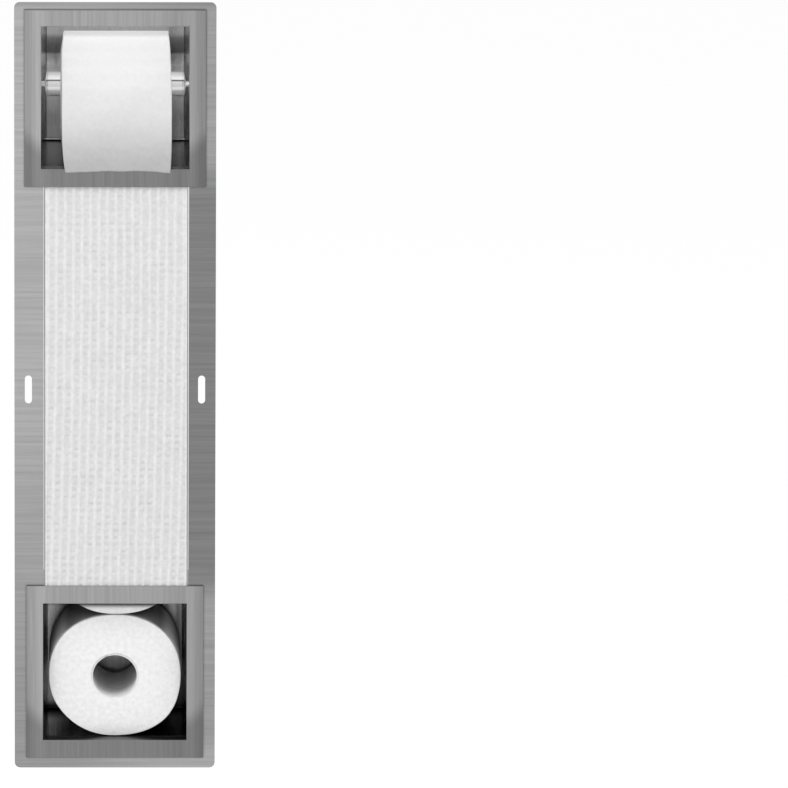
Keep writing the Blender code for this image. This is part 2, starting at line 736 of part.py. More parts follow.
def roll_profile(inner, outer, edge):
    """Half a section of a roll, with its rims rounded off."""
    half = ROLL_LENGTH / 2
    return [
        (-half, inner),
        (-half, outer - edge),
        (-half + edge, outer),
        (half - edge, outer),
        (half, outer - edge),
        (half, inner),
    ]


def core_profile():
    half = ROLL_LENGTH / 2
    return [(-half, CORE_BORE / 2), (-half, CORE_RADIUS), (half, CORE_RADIUS), (half, CORE_BORE / 2)]


def make_roll_in_use(carrier):
    """The roll hangs with its core's top on the spindle."""
    paper = roll_profile(CORE_RADIUS + GAP, ROLL_RADIUS, ROLL_EDGE_ROUND)
    shape = turned(paper, "X", ROLL_AXIS, ROLL_STEPS, closed=True)
    finish("roll_in_use_paper", shape, tissue("roll_in_use_tissue"), carrier, 30)
    shape = turned(core_profile(), "X", ROLL_AXIS, CORE_STEPS, closed=True)
    finish("roll_in_use_core", shape, cardboard("roll_in_use_card"), carrier, 30)


def squash(shape, centre):
    """Flattens a roll in height, fully at its outside and less towards its core, which sags a little."""
    for vert in shape.verts:
        offset = vert.co - centre
        radius = math.hypot(offset.x, offset.z)
        share = min(radius / (SPARE_ROLL_WIDTH / 2), 1)
        sag = SPARE_CORE_DROP * (1 - share)
        vert.co.z = centre.z + offset.z * (1 - (1 - SPARE_SQUASH_SHARE) * share) - sag


def spare_roll_centre(number):
    """The middle of a spare roll, counted from 1 at the bottom of the stack."""
    bottom = LOWER_LOW + GAP + (number - 1) * (SPARE_ROLL_HEIGHT + GAP)
    return Vector((0, SPARE_ROLL_SETBACK + ROLL_LENGTH / 2, bottom + SPARE_ROLL_HEIGHT / 2))


def make_spare_roll(number, carrier=None):
    centre = spare_roll_centre(number)
    name = f"spare_roll_{number}"
    paper = roll_profile(CORE_RADIUS + GAP, SPARE_ROLL_WIDTH / 2, ROLL_EDGE_ROUND)
    shape = turned(paper, "Y", centre, ROLL_STEPS, closed=True)
    squash(shape, centre)
    finish(f"{name}_paper", shape, tissue(f"{name}_tissue"), carrier, 30)
    shape = turned(core_profile(), "Y", centre, CORE_STEPS, closed=True)
    squash(shape, centre)
    finish(f"{name}_core", shape, cardboard(f"{name}_card"), carrier, 30)


def tail_path():
    """The hanging paper's inner face from the top of the roll to its free end, as (y, z) points."""
    radius = ROLL_RADIUS + GAP
    path = []
    for step in range(TAIL_WRAP_STEPS + 1):
        share = step / TAIL_WRAP_STEPS
        angle = math.radians(TAIL_WRAP_DEGREES + (TAIL_LEAVE_DEGREES - TAIL_WRAP_DEGREES) * share)
        path.append((ROLL_AXIS.y - radius * math.cos(angle), ROLL_AXIS.z + radius * math.sin(angle)))
    leave_y, leave_z = path[-1]
    leave = math.radians(TAIL_LEAVE_DEGREES)
    final = math.radians(-TAIL_END_DEGREES)
    end_z = UPPER_LOW - TAIL_OVERHANG
    bow = (leave_z - end_z) / (math.sin(leave) - math.sin(final))
    for step in range(1, TAIL_FALL_STEPS + 1):
        angle = leave + (final - leave) * step / TAIL_FALL_STEPS
        y = leave_y - bow * (math.cos(angle) - math.cos(leave))
        z = leave_z - bow * (math.sin(leave) - math.sin(angle))
        path.append((y, z))
    return path


def make_paper_tail(parent):
    """The free end of the roll: it follows the roll, bows forward and hangs in front of the frame."""
    path = tail_path()
    shape = bmesh.new()
    rows = []
    for number, (y, z) in enumerate(path):
        fall = max(number - TAIL_WRAP_STEPS, 0) / TAIL_FALL_STEPS
        half = ROLL_LENGTH / 2 + (TAIL_END_WIDTH - ROLL_LENGTH) / 2 * fall * fall
        row = []
        for step in range(TAIL_CROSS_STEPS + 1):
            across = 2 * step / TAIL_CROSS_STEPS - 1
            rise = TAIL_EDGE_RISE * (1 - across * across) * fall * fall
            ripple = TAIL_RIPPLE * math.cos(2 * math.pi * across) * fall * fall
            row.append(shape.verts.new((half * across, y - ripple, z + rise)))
        rows.append(row)
    for upper, lower in zip(rows, rows[1:]):
        for step in range(TAIL_CROSS_STEPS):
            shape.faces.new((upper[step], lower[step], lower[step + 1], upper[step + 1]))
    tail = finish("paper_tail", shape, tissue("tail_tissue"), parent, 40)
    outwards = tail.data.polygons[0].normal.y
    thicken = tail.modifiers.new("sheet", "SOLIDIFY")
    thicken.thickness = TAIL_SHEET
    thicken.offset = 1 if outwards < 0 else -1


def build():
    clear_scene()
    make_wall_flange()
    make_panel_tray()
    make_centre_panel()
    make_upper_wrap()
    make_lower_wrap()
    for name, side in (("left", -1), ("right", 1)):
        make_upper_cheek(f"upper_cheek_{name}", side)
        make_lower_cheek(f"lower_cheek_{name}", side)
        make_spindle_cup(f"spindle_cup_{name}", side)
    make_shaft_shoulder()
    make_shaft_channel()
    upper_frame = axis_empty("upper_frame_carrier", Vector((0, 0, level(UPPER_CENTRE_HEIGHT))))
    lower_frame = axis_empty("lower_frame_carrier", Vector((0, 0, level(LOWER_CENTRE_HEIGHT))))
    upper_size = (UPPER_OPENING_WIDTH, UPPER_LOW, UPPER_HIGH, UPPER_HEAD_BORDER)
    make_trim_frame("upper_trim_frame", *upper_size, upper_frame)
    lower_size = (LOWER_OPENING_WIDTH, LOWER_LOW, LOWER_HIGH, LOWER_HEAD_BORDER)
    make_trim_frame("lower_trim_frame", *lower_size, lower_frame)
    make_spindle(axis_empty("spindle_carrier", SPINDLE_AXIS), axis_empty("plunger_carrier", SPINDLE_AXIS))
    make_roll_in_use(axis_empty("roll_carrier", ROLL_AXIS))
    make_paper_tail(upper_frame)
    make_spare_roll(1, axis_empty("spare_roll_carrier", spare_roll_centre(1)))
    for number in range(2, SPARE_ROLLS + 1):
        make_spare_roll(number)


build()
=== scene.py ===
import math

import bpy
import numpy as np
from mathutils import Matrix, Vector, noise


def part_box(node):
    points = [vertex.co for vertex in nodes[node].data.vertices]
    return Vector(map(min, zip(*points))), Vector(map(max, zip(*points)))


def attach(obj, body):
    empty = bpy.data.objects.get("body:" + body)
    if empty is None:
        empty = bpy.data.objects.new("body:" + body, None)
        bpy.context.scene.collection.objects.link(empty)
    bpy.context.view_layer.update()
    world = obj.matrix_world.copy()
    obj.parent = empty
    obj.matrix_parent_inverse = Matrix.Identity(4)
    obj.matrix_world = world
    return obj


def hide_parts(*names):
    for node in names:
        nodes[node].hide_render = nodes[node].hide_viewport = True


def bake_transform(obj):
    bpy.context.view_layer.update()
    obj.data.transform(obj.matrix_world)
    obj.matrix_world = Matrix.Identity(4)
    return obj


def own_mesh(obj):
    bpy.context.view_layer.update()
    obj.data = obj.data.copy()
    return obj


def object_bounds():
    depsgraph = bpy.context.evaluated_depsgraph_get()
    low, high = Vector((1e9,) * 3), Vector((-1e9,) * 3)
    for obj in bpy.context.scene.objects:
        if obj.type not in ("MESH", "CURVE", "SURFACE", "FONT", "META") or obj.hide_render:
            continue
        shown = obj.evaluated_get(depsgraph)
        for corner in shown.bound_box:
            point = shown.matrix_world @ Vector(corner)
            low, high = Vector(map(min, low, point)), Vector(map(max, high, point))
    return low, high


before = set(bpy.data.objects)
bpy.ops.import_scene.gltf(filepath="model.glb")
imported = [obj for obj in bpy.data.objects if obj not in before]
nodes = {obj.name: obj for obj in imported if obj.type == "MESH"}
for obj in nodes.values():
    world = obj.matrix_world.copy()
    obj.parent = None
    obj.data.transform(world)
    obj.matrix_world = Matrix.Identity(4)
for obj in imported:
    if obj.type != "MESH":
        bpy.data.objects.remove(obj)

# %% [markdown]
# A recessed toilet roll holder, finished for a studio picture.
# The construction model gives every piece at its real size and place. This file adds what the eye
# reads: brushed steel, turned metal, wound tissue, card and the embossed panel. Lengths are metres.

cad_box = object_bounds()
print("construction box", [round(side, 4) for side in cad_box[1] - cad_box[0]])

# %% [markdown]
# A camera, a lamp or a mesh is only data until an object in the scene holds it. Two helpers do that
# for every new piece, so that each one is named once and gets its material at once.

# %% Scene helpers


def put(name, data):
    """A new object in the scene."""
    made = bpy.data.objects.new(name, data)
    bpy.context.scene.collection.objects.link(made)
    return made


def link_mesh(name, points, faces, material, map_name=None, maps=None):
    """A smooth mesh object from points and faces. Maps hold one pair of numbers for each face corner."""
    mesh = bpy.data.meshes.new(name)
    mesh.from_pydata([tuple(point) for point in points], [], faces)
    if maps is not None:
        layer = mesh.uv_layers.new(name=map_name)
        layer.data.foreach_set("uv", np.array(maps, np.float32).reshape(-1))
    mesh.shade_smooth()
    mesh.materials.append(material)
    return put(name, mesh)


# %% [markdown]
# The camera stands where the photograph was taken from: far away, a little above the unit and aimed
# to its right, so that the unit fills the left part of a square picture. A long lens from far away
# keeps the long flange's edges nearly parallel. The camera is aimed and its lens isn't shifted, so
# that other views keep the same lens.

# %% Camera
CAMERA_DISTANCE = 11.0
CAMERA_ELEVATION = math.radians(12)
CAMERA_AIM_HEIGHT = 0.338
CAMERA_YAW = math.radians(-1.330)
CAMERA_TILT = math.radians(77.972)
CAMERA_ROLL = math.radians(0.322)
LENS_MM = 561.3
SENSOR_MM = 36


def make_camera():
    data = bpy.data.cameras.new("camera")
    data.lens = LENS_MM
    data.sensor_width = SENSOR_MM
    camera = put("camera", data)
    turn = Matrix.Rotation(CAMERA_YAW, 4, "Z") @ Matrix.Rotation(CAMERA_TILT, 4, "X")
    turn = turn @ Matrix.Rotation(CAMERA_ROLL, 4, "Z")
    back = CAMERA_DISTANCE * math.cos(CAMERA_ELEVATION)
    up = CAMERA_AIM_HEIGHT + CAMERA_DISTANCE * math.sin(CAMERA_ELEVATION)
    camera.matrix_world = Matrix.Translation((0, -back, up)) @ turn
    bpy.context.scene.camera = camera


make_camera()
bpy.context.scene.view_settings.view_transform = "Standard"
print("camera", round(CAMERA_DISTANCE, 1), "m away with a", round(LENS_MM), "mm lens")

# %% [markdown]
# Materials are node graphs, and a few helpers keep them readable. One adds a node and joins its
# inputs, others multiply tones or let them change along the surface, and one opens a node group with
# named sockets. A group is built once, and each material gives it its own values.

# %% Node helpers


def feed(tree, made, feeds):
    """Gives a node its inputs. Each feed is a socket to link from or a plain value."""
    for name, value in feeds.items():
        if isinstance(value, bpy.types.NodeSocket):
            tree.links.new(value, made.inputs[name])
        else:
            made.inputs[name].default_value = value


def add(tree, kind, feeds=None, **settings):
    made = tree.nodes.new(kind)
    made.location = (200 * len(tree.nodes), 0)
    for name, value in settings.items():
        setattr(made, name, value)
    feed(tree, made, feeds or {})
    return made


def math_of(tree, operation, *values):
    """A Math node's result for sockets or plain numbers."""
    return add(tree, "ShaderNodeMath", dict(enumerate(values)), operation=operation).outputs[0]


def weigh(tree, value, weight, base):
    """A value times its weight, added to a base."""
    return math_of(tree, "MULTIPLY_ADD", value, weight, base)


def times(tree, first, *others):
    """The product of tones, each a socket or a plain number."""
    for other in others:
        first = math_of(tree, "MULTIPLY", first, other)
    return first


def axes(tree, vector):
    """A vector's parts by the names X, Y and Z."""
    return add(tree, "ShaderNodeSeparateXYZ", {0: vector}).outputs


def sweep(tree, value, start, end, before, after):
    """A smooth change of tone from one value to another between two places."""
    feeds = {"Value": value, "From Min": start, "From Max": end, "To Min": before, "To Max": after}
    return add(tree, "ShaderNodeMapRange", feeds, interpolation_type="SMOOTHSTEP").outputs["Result"]


def bands(tree, value, last, steps, zero=0.0):
    """Tones that follow one another. Each step is (start, end, tone before it), counted from zero and
    listed from the far end on, and last is the tone beyond them all."""
    for start, end, before in steps:
        last = sweep(tree, value, zero + start, zero + end, before, last)
    return last


def clouds(tree, place, scale, detail=2.0):
    """Smooth noise over a place, one half on average."""
    feeds = {"Vector": place, "Scale": scale, "Detail": detail}
    return add(tree, "ShaderNodeTexNoise", feeds).outputs["Fac"]


def open_group(name, inputs, outputs):
    """A new node group, its inputs' sockets and the node that takes its outputs. Inputs hold their
    defaults: a float, or a triple or None for a vector."""
    tree = bpy.data.node_groups.new(name, "ShaderNodeTree")
    for label, value in inputs.items():
        kind = "NodeSocketFloat" if isinstance(value, float) else "NodeSocketVector"
        socket = tree.interface.new_socket(label, in_out="INPUT", socket_type=kind)
        if value is not None:
            socket.default_value = value
    for label in outputs:
        tree.interface.new_socket(label, in_out="OUTPUT", socket_type="NodeSocketFloat")
    return tree, tree.nodes.new("NodeGroupInput").outputs, tree.nodes.new("NodeGroupOutput")


def use_group(tree, group, **feeds):
    """The outputs of a placed node group."""
    return add(tree, "ShaderNodeGroup", feeds, node_tree=group).outputs


# %% [markdown]
# The room is a pale floor under the unit, a white world and two soft lamps. The camera and shining
# metal see the floor as white, but it throws back only half of the light that falls on it, so that
# paper is darker where it turns downwards. Light Path tells these rays apart. The floor is matt.

# %% Studio
FLOOR_DROP = 0.30
FLOOR_SIZE = 60.0
FLOOR_WHITE = 0.97
FLOOR_BOUNCE = 0.50
WORLD_STRENGTH = 1.0
LAMP_AIM = (0, 0, 0.35)
# name, place, size and watts
STUDIO_LAMPS = [
    ("key_lamp", (-1.2, -1.9, 3.0), 1.6, 26),
    ("front_lamp", (-0.5, -3.2, 1.0), 1.6, 9),
]


def two_levels(tree, spread, seen):
    """One level for light that spreads, another for what the camera, a mirror or glass shows."""
    path = add(tree, "ShaderNodeLightPath").outputs
    shown = math_of(tree, "MAXIMUM", path["Is Camera Ray"], path["Is Glossy Ray"])
    shown = math_of(tree, "MAXIMUM", shown, path["Is Transmission Ray"])
    feeds = {"Value": shown, "To Min": spread, "To Max": seen}
    return add(tree, "ShaderNodeMapRange", feeds).outputs["Result"]


def make_world():
    world = bpy.data.worlds.new("white_studio")
    bpy.context.scene.world = world
    world.use_nodes = True
    tree = world.node_tree
    tree.nodes.clear()
    light = add(tree, "ShaderNodeBackground", {"Color": (1, 1, 1, 1), "Strength": WORLD_STRENGTH})
    add(tree, "ShaderNodeOutputWorld", {"Surface": light.outputs[0]})


def make_floor():
    half = FLOOR_SIZE / 2
    low = cad_box[0].z - FLOOR_DROP
    corners = [(-half, -half, low), (half, -half, low), (half, half, low), (-half, half, low)]
    pale = bpy.data.materials.new("pale_floor")
    pale.use_nodes = True
    tree = pale.node_tree
    level = two_levels(tree, FLOOR_BOUNCE, FLOOR_WHITE)
    feeds = {"Base Color": level, "Roughness": 0.9, "Specular IOR Level": 0.0}
    feed(tree, tree.nodes["Principled BSDF"], feeds)
    link_mesh("studio_floor", corners, [(0, 1, 2, 3)], pale)


def make_lamp(name, place, aim, size, watts):
    data = bpy.data.lights.new(name, "AREA")
    data.shape = "DISK"
    data.size = size
    data.energy = watts
    lamp = put(name, data)
    lamp.location = place
    lamp.rotation_euler = (Vector(aim) - Vector(place)).to_track_quat("-Z", "Y").to_euler()
    return lamp


make_world()
make_floor()
for lamp_name, lamp_place, lamp_size, watts in STUDIO_LAMPS:
    make_lamp(lamp_name, lamp_place, LAMP_AIM, lamp_size, watts)
print("floor, world and", len(STUDIO_LAMPS), "soft lamps")

# %% [markdown]
# Brushed steel has been drawn past an abrasive belt, which leaves fine straight scratches in one
# direction. An image of scratches would repeat, so noise stretched along the grain is used: one layer
# of hair lines and one of wider streaks. The group puts out a streak mask for colour and roughness,
# and a height for the bump.

# %% Brushed grain group
HAIR_SCALE = 1700.0
HAIR_SHARE = 0.40
WIDE_SCALE = 420.0
WIDE_SHARE = 0.60


def make_grain_group():
    inputs = {"Place": None, "Stretch": (1, 1, 1), "Fineness": 1.0}
    tree, given, end = open_group("brushed_grain", inputs, ("Streaks", "Height"))
    place = {0: given["Place"], 1: given["Stretch"]}
    drawn = add(tree, "ShaderNodeVectorMath", place, operation="MULTIPLY").outputs[0]
    hairs = clouds(tree, drawn, times(tree, given["Fineness"], HAIR_SCALE))
    wide = clouds(tree, drawn, times(tree, given["Fineness"], WIDE_SCALE), 3.0)
    both = weigh(tree, wide, WIDE_SHARE, times(tree, hairs, HAIR_SHARE))
    feed(tree, end, {"Streaks": both, "Height": hairs})
    return tree


grain_group = make_grain_group()
print("group", grain_group.name)

# %% [markdown]
# A sheet of steel is never one even grey: it drifts from lighter to darker over a hand's width, where
# the belt pressed more or a cloth has wiped it. The second group gives that slow drift. It also serves
# the plastic and the paper, each with its own size and depth.

# %% Tone drift group


def make_drift_group():
    inputs = {"Place": None, "Size": 0.1, "Depth": 0.1}
    tree, given, end = open_group("tone_drift", inputs, ("Tone",))
    cloud = clouds(tree, given["Place"], math_of(tree, "DIVIDE", 1.0, given["Size"]), 1.5)
    centred = math_of(tree, "SUBTRACT", cloud, 0.5)
    feed(tree, end, {"Tone": weigh(tree, centred, given["Depth"], 1.0)})
    return tree


drift_group = make_drift_group()
print("group", drift_group.name)

# %% [markdown]
# Folded and cut edges of steel are burnished by every wipe, so they catch more light than the flats.
# The edges are made lighter in the colour, as wear and as a painted highlight. A Bevel node gives the
# normal that a rounded edge would have. Where it differs from the true normal there is an edge, and
# that difference is the mask of the wear and the painted highlight.

# %% Edge wear and painted highlight group


def make_edge_wear_and_highlight_group():
    tree, given, end = open_group("edge_wear_and_highlight", {"Width": 0.0005, "Amount": 1.0}, ("Edge",))
    rounded = add(tree, "ShaderNodeBevel", {"Radius": given["Width"]}, samples=4)
    flat = add(tree, "ShaderNodeNewGeometry")
    normals = {0: rounded.outputs["Normal"], 1: flat.outputs["Normal"]}
    alike = add(tree, "ShaderNodeVectorMath", normals, operation="DOT_PRODUCT").outputs["Value"]
    edge = times(tree, math_of(tree, "SUBTRACT", 1.0, alike), given["Amount"])
    feed(tree, end, {"Edge": math_of(tree, "MINIMUM", edge, 1.0)})
    return tree


edge_wear_and_highlight_group = make_edge_wear_and_highlight_group()
print("group", edge_wear_and_highlight_group.name)

# %% [markdown]
# Shade falls where one sheet lies on another and draws a thin dark line round each trim frame, and
# here that shade is painted. An Ambient Occlusion node finds such corners by how much of the sky a
# point can see. The group turns that into a factor for the colour, a painted shade.

# %% Crevice shade group
DARKEST_CREVICE = 0.05


def make_crevice_shade_group():
    tree, given, end = open_group("painted_crevice_shade", {"Reach": 0.002, "Depth": 0.5}, ("Factor",))
    open_sky = add(tree, "ShaderNodeAmbientOcclusion", {"Distance": given["Reach"]}, samples=8)
    hidden = math_of(tree, "SUBTRACT", 1.0, open_sky.outputs["AO"])
    factor = math_of(tree, "SUBTRACT", 1.0, times(tree, hidden, given["Depth"]))
    feed(tree, end, {"Factor": math_of(tree, "MAXIMUM", factor, DARKEST_CREVICE)})
    return tree


crevice_shade_group = make_crevice_shade_group()
print("group", crevice_shade_group.name)

# %% [markdown]
# Every material starts from the plain shader and from the place on its object. Its colour is a grey
# times a tone that varies over the surface, and its fine relief comes from a height.

# %% Material helpers


def open_material(name):
    made = bpy.data.materials.new(name)
    made.use_nodes = True
    tree = made.node_tree
    return made, tree, add(tree, "ShaderNodeTexCoord").outputs["Object"]


def shaded(tree, place, tone, shade):
    """The tone times the painted light and shade that a shading function gives for each place, if there
    is one.
    """
    if not shade:
        return tone
    parts = axes(tree, place)
    return times(tree, tone, shade(tree, parts["X"], parts["Y"], parts["Z"]))


def finish(made, grey, tone, gloss, relief=None):
    """The material with its colour, with its gloss as inputs of the shader, and with the fine relief
    of a (height, strength, distance)."""
    tree = made.node_tree
    level = times(tree, tone, grey)
    colour = add(tree, "ShaderNodeCombineColor", {"Red": level, "Green": level, "Blue": level})
    feeds = {"Base Color": colour.outputs[0], **gloss}
    if relief:
        bump = add(tree, "ShaderNodeBump", dict(zip(("Height", "Strength", "Distance"), relief)))
        feeds["Normal"] = bump.outputs["Normal"]
    feed(tree, tree.nodes["Principled BSDF"], feeds)
    return made


def dress(material, *names):
    for name in names:
        node = nodes[name]
        node.data.materials.clear()
        node.data.materials.append(material)


# %% [markdown]
# Every sheet of the unit is the same stainless steel, but the flange was brushed across, the frames
# and the cheeks upright, and the boxes round their bends. One function makes each of these finishes
# from its grey, its grain and its roughness, so that they stay one family. The grey is multiplied by
# drift, streaks and painted crevice shade, and the worn edges, lightened as a painted highlight too, are
# added last. A sheet may also bring its own painted light and shade, a function that returns one more
# tone from the place on the sheet.

# %% Brushed steel
GRAIN_ACROSS = (0.012, 1.0, 1.0)
GRAIN_UPRIGHT = (1.0, 1.0, 0.012)
GRAIN_ROUND_BENDS = (1.0, 0.012, 0.012)
STEEL_DRIFT = {"Size": 0.16, "Depth": 0.2}
STREAK_DEPTH = 0.72
STREAK_ROUGHNESS = 0.16
WEAR_AND_HIGHLIGHT_AMOUNT = 0.9
WEAR_AND_HIGHLIGHT_LIGHTER = 0.35
CREVICE_SHADE_REACH = 0.0022
SCRATCH_STRENGTH = 0.22
SCRATCH_DEPTH = 0.0002
SHARP_EDGE = 0.0001
ROUNDED_EDGE = 0.0011


def brushed_steel(name, grey, stretch, roughness, shade=None, crevice_shade_depth=0.6, glance=1.0, edge=0.0005):
    """The crevice setting is how dark the painted shade in its crevices is, glance is how much of its
    shine the steel keeps when it is seen along its face, and edge is the width of its worn edges,
    which are lightened as a painted highlight too."""
    made, tree, place = open_material(name)
    grain = use_group(tree, grain_group, Place=place, Stretch=stretch, Fineness=1.0)
    drift = use_group(tree, drift_group, Place=place, **STEEL_DRIFT)
    wear_and_highlight = use_group(tree, edge_wear_and_highlight_group, Width=edge, Amount=WEAR_AND_HIGHLIGHT_AMOUNT)
    crevices = use_group(tree, crevice_shade_group, Reach=CREVICE_SHADE_REACH, Depth=crevice_shade_depth)
    streaks = math_of(tree, "SUBTRACT", grain["Streaks"], 0.5)
    streaks = weigh(tree, streaks, STREAK_DEPTH, 1.0)
    # Crevices take painted shade, the sheet's shading adds painted light and shade, and worn edges a
    # painted highlight.
    tone = times(tree, streaks, drift["Tone"], crevices["Factor"])
    tone = weigh(tree, wear_and_highlight["Edge"], WEAR_AND_HIGHLIGHT_LIGHTER, shaded(tree, place, tone, shade))
    smoothest = roughness - STREAK_ROUGHNESS / 2
    gloss = {
        "Roughness": weigh(tree, grain["Streaks"], STREAK_ROUGHNESS, smoothest),
        "Metallic": 1.0,
        "Specular Tint": (glance, glance, glance, 1),
    }
    return finish(made, grey, tone, gloss, (grain["Height"], SCRATCH_STRENGTH, SCRATCH_DEPTH))


# %% [markdown]
# The flange takes the light unevenly, and that light and shade are painted into its colour: its left
# side is the brighter one, and its right side is dark along the panel. The frames are painted darker in
# their lowest quarter and brighter towards their opening. These soft changes run over the whole sheet,
# so they follow its height and width. A change is named here as (start, end, tone before, tone after),
# and as (start, end) where its tones come from others.

# %% Painted light and shade on the flange, the frames and the tray
UPPER_FRAME_LOW, UPPER_FRAME_HIGH = (corner.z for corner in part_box("upper_trim_frame"))
LOWER_FRAME_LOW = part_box("lower_trim_frame")[0].z
PANEL_LOW, PANEL_HIGH = (corner.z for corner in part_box("centre_panel"))
LEFT_TO_RIGHT = (-0.06, 0.06)
FLANGE_LEFT = (0.02, 0.42, 0.90, 1.14)
FLANGE_TOP = (UPPER_FRAME_HIGH, UPPER_FRAME_HIGH + 0.006, 1.0, 0.80)
FLANGE_FOOT = (-0.004, 0.02, 1.22, 1.0)
PANEL_STARTS = (PANEL_LOW - 0.01, PANEL_LOW + 0.03, 0.0, 1.0)
PANEL_ENDS = (PANEL_HIGH - 0.03, PANEL_HIGH + 0.02, 1.0, 0.0)
FLANGE_RIGHT = 0.93
BESIDE_PANEL = -0.33
FRAME_FOOT = (0.030, 0.052, 0.64, 1.03)
FOOT_LEAN = 0.9
LEAN_BASE = -0.066
LEAST_LEAN = -0.006
BAR_EDGE = (0.058, 0.067)
BAR_WIDTH = (0.0665, 0.0815, 1.14, 0.84)
FRAME_RIGHT = (0.03, 0.07, 1.0, 0.85)
FRAME_SLEEVE = (-0.0032, -0.0018, 1.0, 0.45)
TRAY_LEFT = 0.72
TRAY_RIGHT = (0.30, 0.42, 0.85, 1.15)


# Painted light and shade: brighter at the left, dark along the panel at the right, lighter at the right
# foot, darker above the upper frame.
def flange_shade(tree, x, y, z):
    top = sweep(tree, z, *FLANGE_TOP)
    left = times(tree, sweep(tree, z, *FLANGE_LEFT), top)
    beside_panel = times(tree, sweep(tree, z, *PANEL_STARTS), sweep(tree, z, *PANEL_ENDS))
    right = weigh(tree, beside_panel, BESIDE_PANEL, FLANGE_RIGHT)
    right = times(tree, right, sweep(tree, z, *FLANGE_FOOT), top)
    return sweep(tree, x, *LEFT_TO_RIGHT, left, right)


def frame_shade(low):
    """The painted shade of a frame from its lower edge. Its dark foot reaches higher further out, its
    side bars are painted lighter towards the opening, and its right side and its sleeve darker.
    """

    def shade(tree, x, y, z):
        outwards = math_of(tree, "ABSOLUTE", x)
        lean = weigh(tree, outwards, FOOT_LEAN, LEAN_BASE)
        height = math_of(tree, "SUBTRACT", z, math_of(tree, "MAXIMUM", lean, LEAST_LEAN))
        start, end, dark, light = FRAME_FOOT
        foot = sweep(tree, height, low + start, low + end, dark, light)
        bars = sweep(tree, outwards, *BAR_EDGE, 1.0, sweep(tree, outwards, *BAR_WIDTH))
        return times(tree, foot, bars, sweep(tree, x, *FRAME_RIGHT), sweep(tree, y, *FRAME_SLEEVE))

    return shade


def tray_shade(tree, x, y, z):
    """The left lip is painted darker, as it lies in the flange's shade, and the right one is painted
    lighter higher up, where it catches the light.
    """
    return sweep(tree, x, *LEFT_TO_RIGHT, TRAY_LEFT, sweep(tree, z, *TRAY_RIGHT))


# %% [markdown]
# The boxes are polished inside. The upper one's back wall mirrors the spindle and the dark floor,
# which draws soft bands across it; these are painted reflections, and its floor gets a painted tone
# too. The lower box gets painted light and shade, dark in its corners. These tones are painted only
# where a sheet looks inwards, so that a box keeps an even grey outside. A list of bands goes from the
# top down, with (start, end, tone before) for each.

# %% Painted reflections, light and shade of the boxes
UPPER_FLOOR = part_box("upper_box_wrap")[0].z + 0.001
UPPER_LID = 0.62
WALL_BANDS = [
    (0.6290, 0.6350, 0.48),
    (0.6180, 0.6260, 0.75),
    (0.6145, 0.6175, 2.75),
    (0.6020, 0.6095, 1.2),
    (0.590, 0.602, 0.83),
    (0.545, 0.570, 1.7),
]
WALL_SIDE = (0.0612, 0.0622)
WALL_SIDE_TOP = 0.29
WALL_SIDE_BANDS = [(0.630, 0.634, 0.4), (0.6165, 0.6175, 0.24), (0.6035, 0.6065, 0.4)]
FLOOR_FOLD = (UPPER_FLOOR + 0.0014, UPPER_FLOOR + 0.0028)
FLOOR_TONE = (0.1365, 0.1385, 0.55, 0.58)
FLOOR_SIDE = (0.060, 0.0635, 1.0, 1.7)

LOWER_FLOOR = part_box("lower_box_wrap")[0].z + 0.0025
LOWER_LID = 0.2
CORNER_RISE = (0.06, 0.105, 0.30, 1.35)
CORNER_TOP = (0.1090, 0.1115)
CORNER_TOP_TONES = (-0.03, 0.03, 0.85, 1.25)
CORNER_RIGHT = (0.0525, 0.0570, 1.0, 0.42)
BEHIND_CORE = (0.026, 0.036, 2.0)
BACK_FOLD = (LOWER_FLOOR + 0.001, LOWER_FLOOR + 0.008, 0.02)
PLATE_TONE = (-0.05, 0.03, 2.3, 0.12)
PLATE_DEEP = (0.073, 0.103, 1.0, 0.2)
PLATE_END = (0.104, 0.112)
MOUTH = (0.0125, 0.0140, 0.06)

LOOKS_INWARDS = (0.3, 0.6)
CHEEK_LOOKS_INWARDS = (-0.03, -0.01)
CHEEK_INSIDE = (0.2, 0.3, 0.88, 1.0)
CHEEK_OUTSIDE = 0.40


def normal_of(tree):
    return axes(tree, add(tree, "ShaderNodeNewGeometry").outputs["True Normal"])


def inside_only(tree, z, lid, tone):
    """The tone on a box's back and floor where they look inwards, and 1 on its outside."""
    normal = normal_of(tree)
    floor = times(tree, normal["Z"], sweep(tree, z, lid - 0.02, lid, 1.0, 0.0))
    back = times(tree, normal["Y"], -1.0)
    return sweep(tree, math_of(tree, "MAXIMUM", floor, back), *LOOKS_INWARDS, 1.0, tone)


# Painted reflections: bands across the back wall, darker bands at its sides, and a darker painted tone
# on the floor below its fold.
def upper_box_shade(tree, x, y, z):
    outwards = math_of(tree, "ABSOLUTE", x)
    side = bands(tree, z, WALL_SIDE_TOP, WALL_SIDE_BANDS)
    wall = times(tree, bands(tree, z, 1.0, WALL_BANDS), sweep(tree, outwards, *WALL_SIDE, 1.0, side))
    floor = times(tree, sweep(tree, y, *FLOOR_TONE), sweep(tree, outwards, *FLOOR_SIDE))
    return inside_only(tree, z, UPPER_LID, sweep(tree, z, *FLOOR_FOLD, floor, wall))


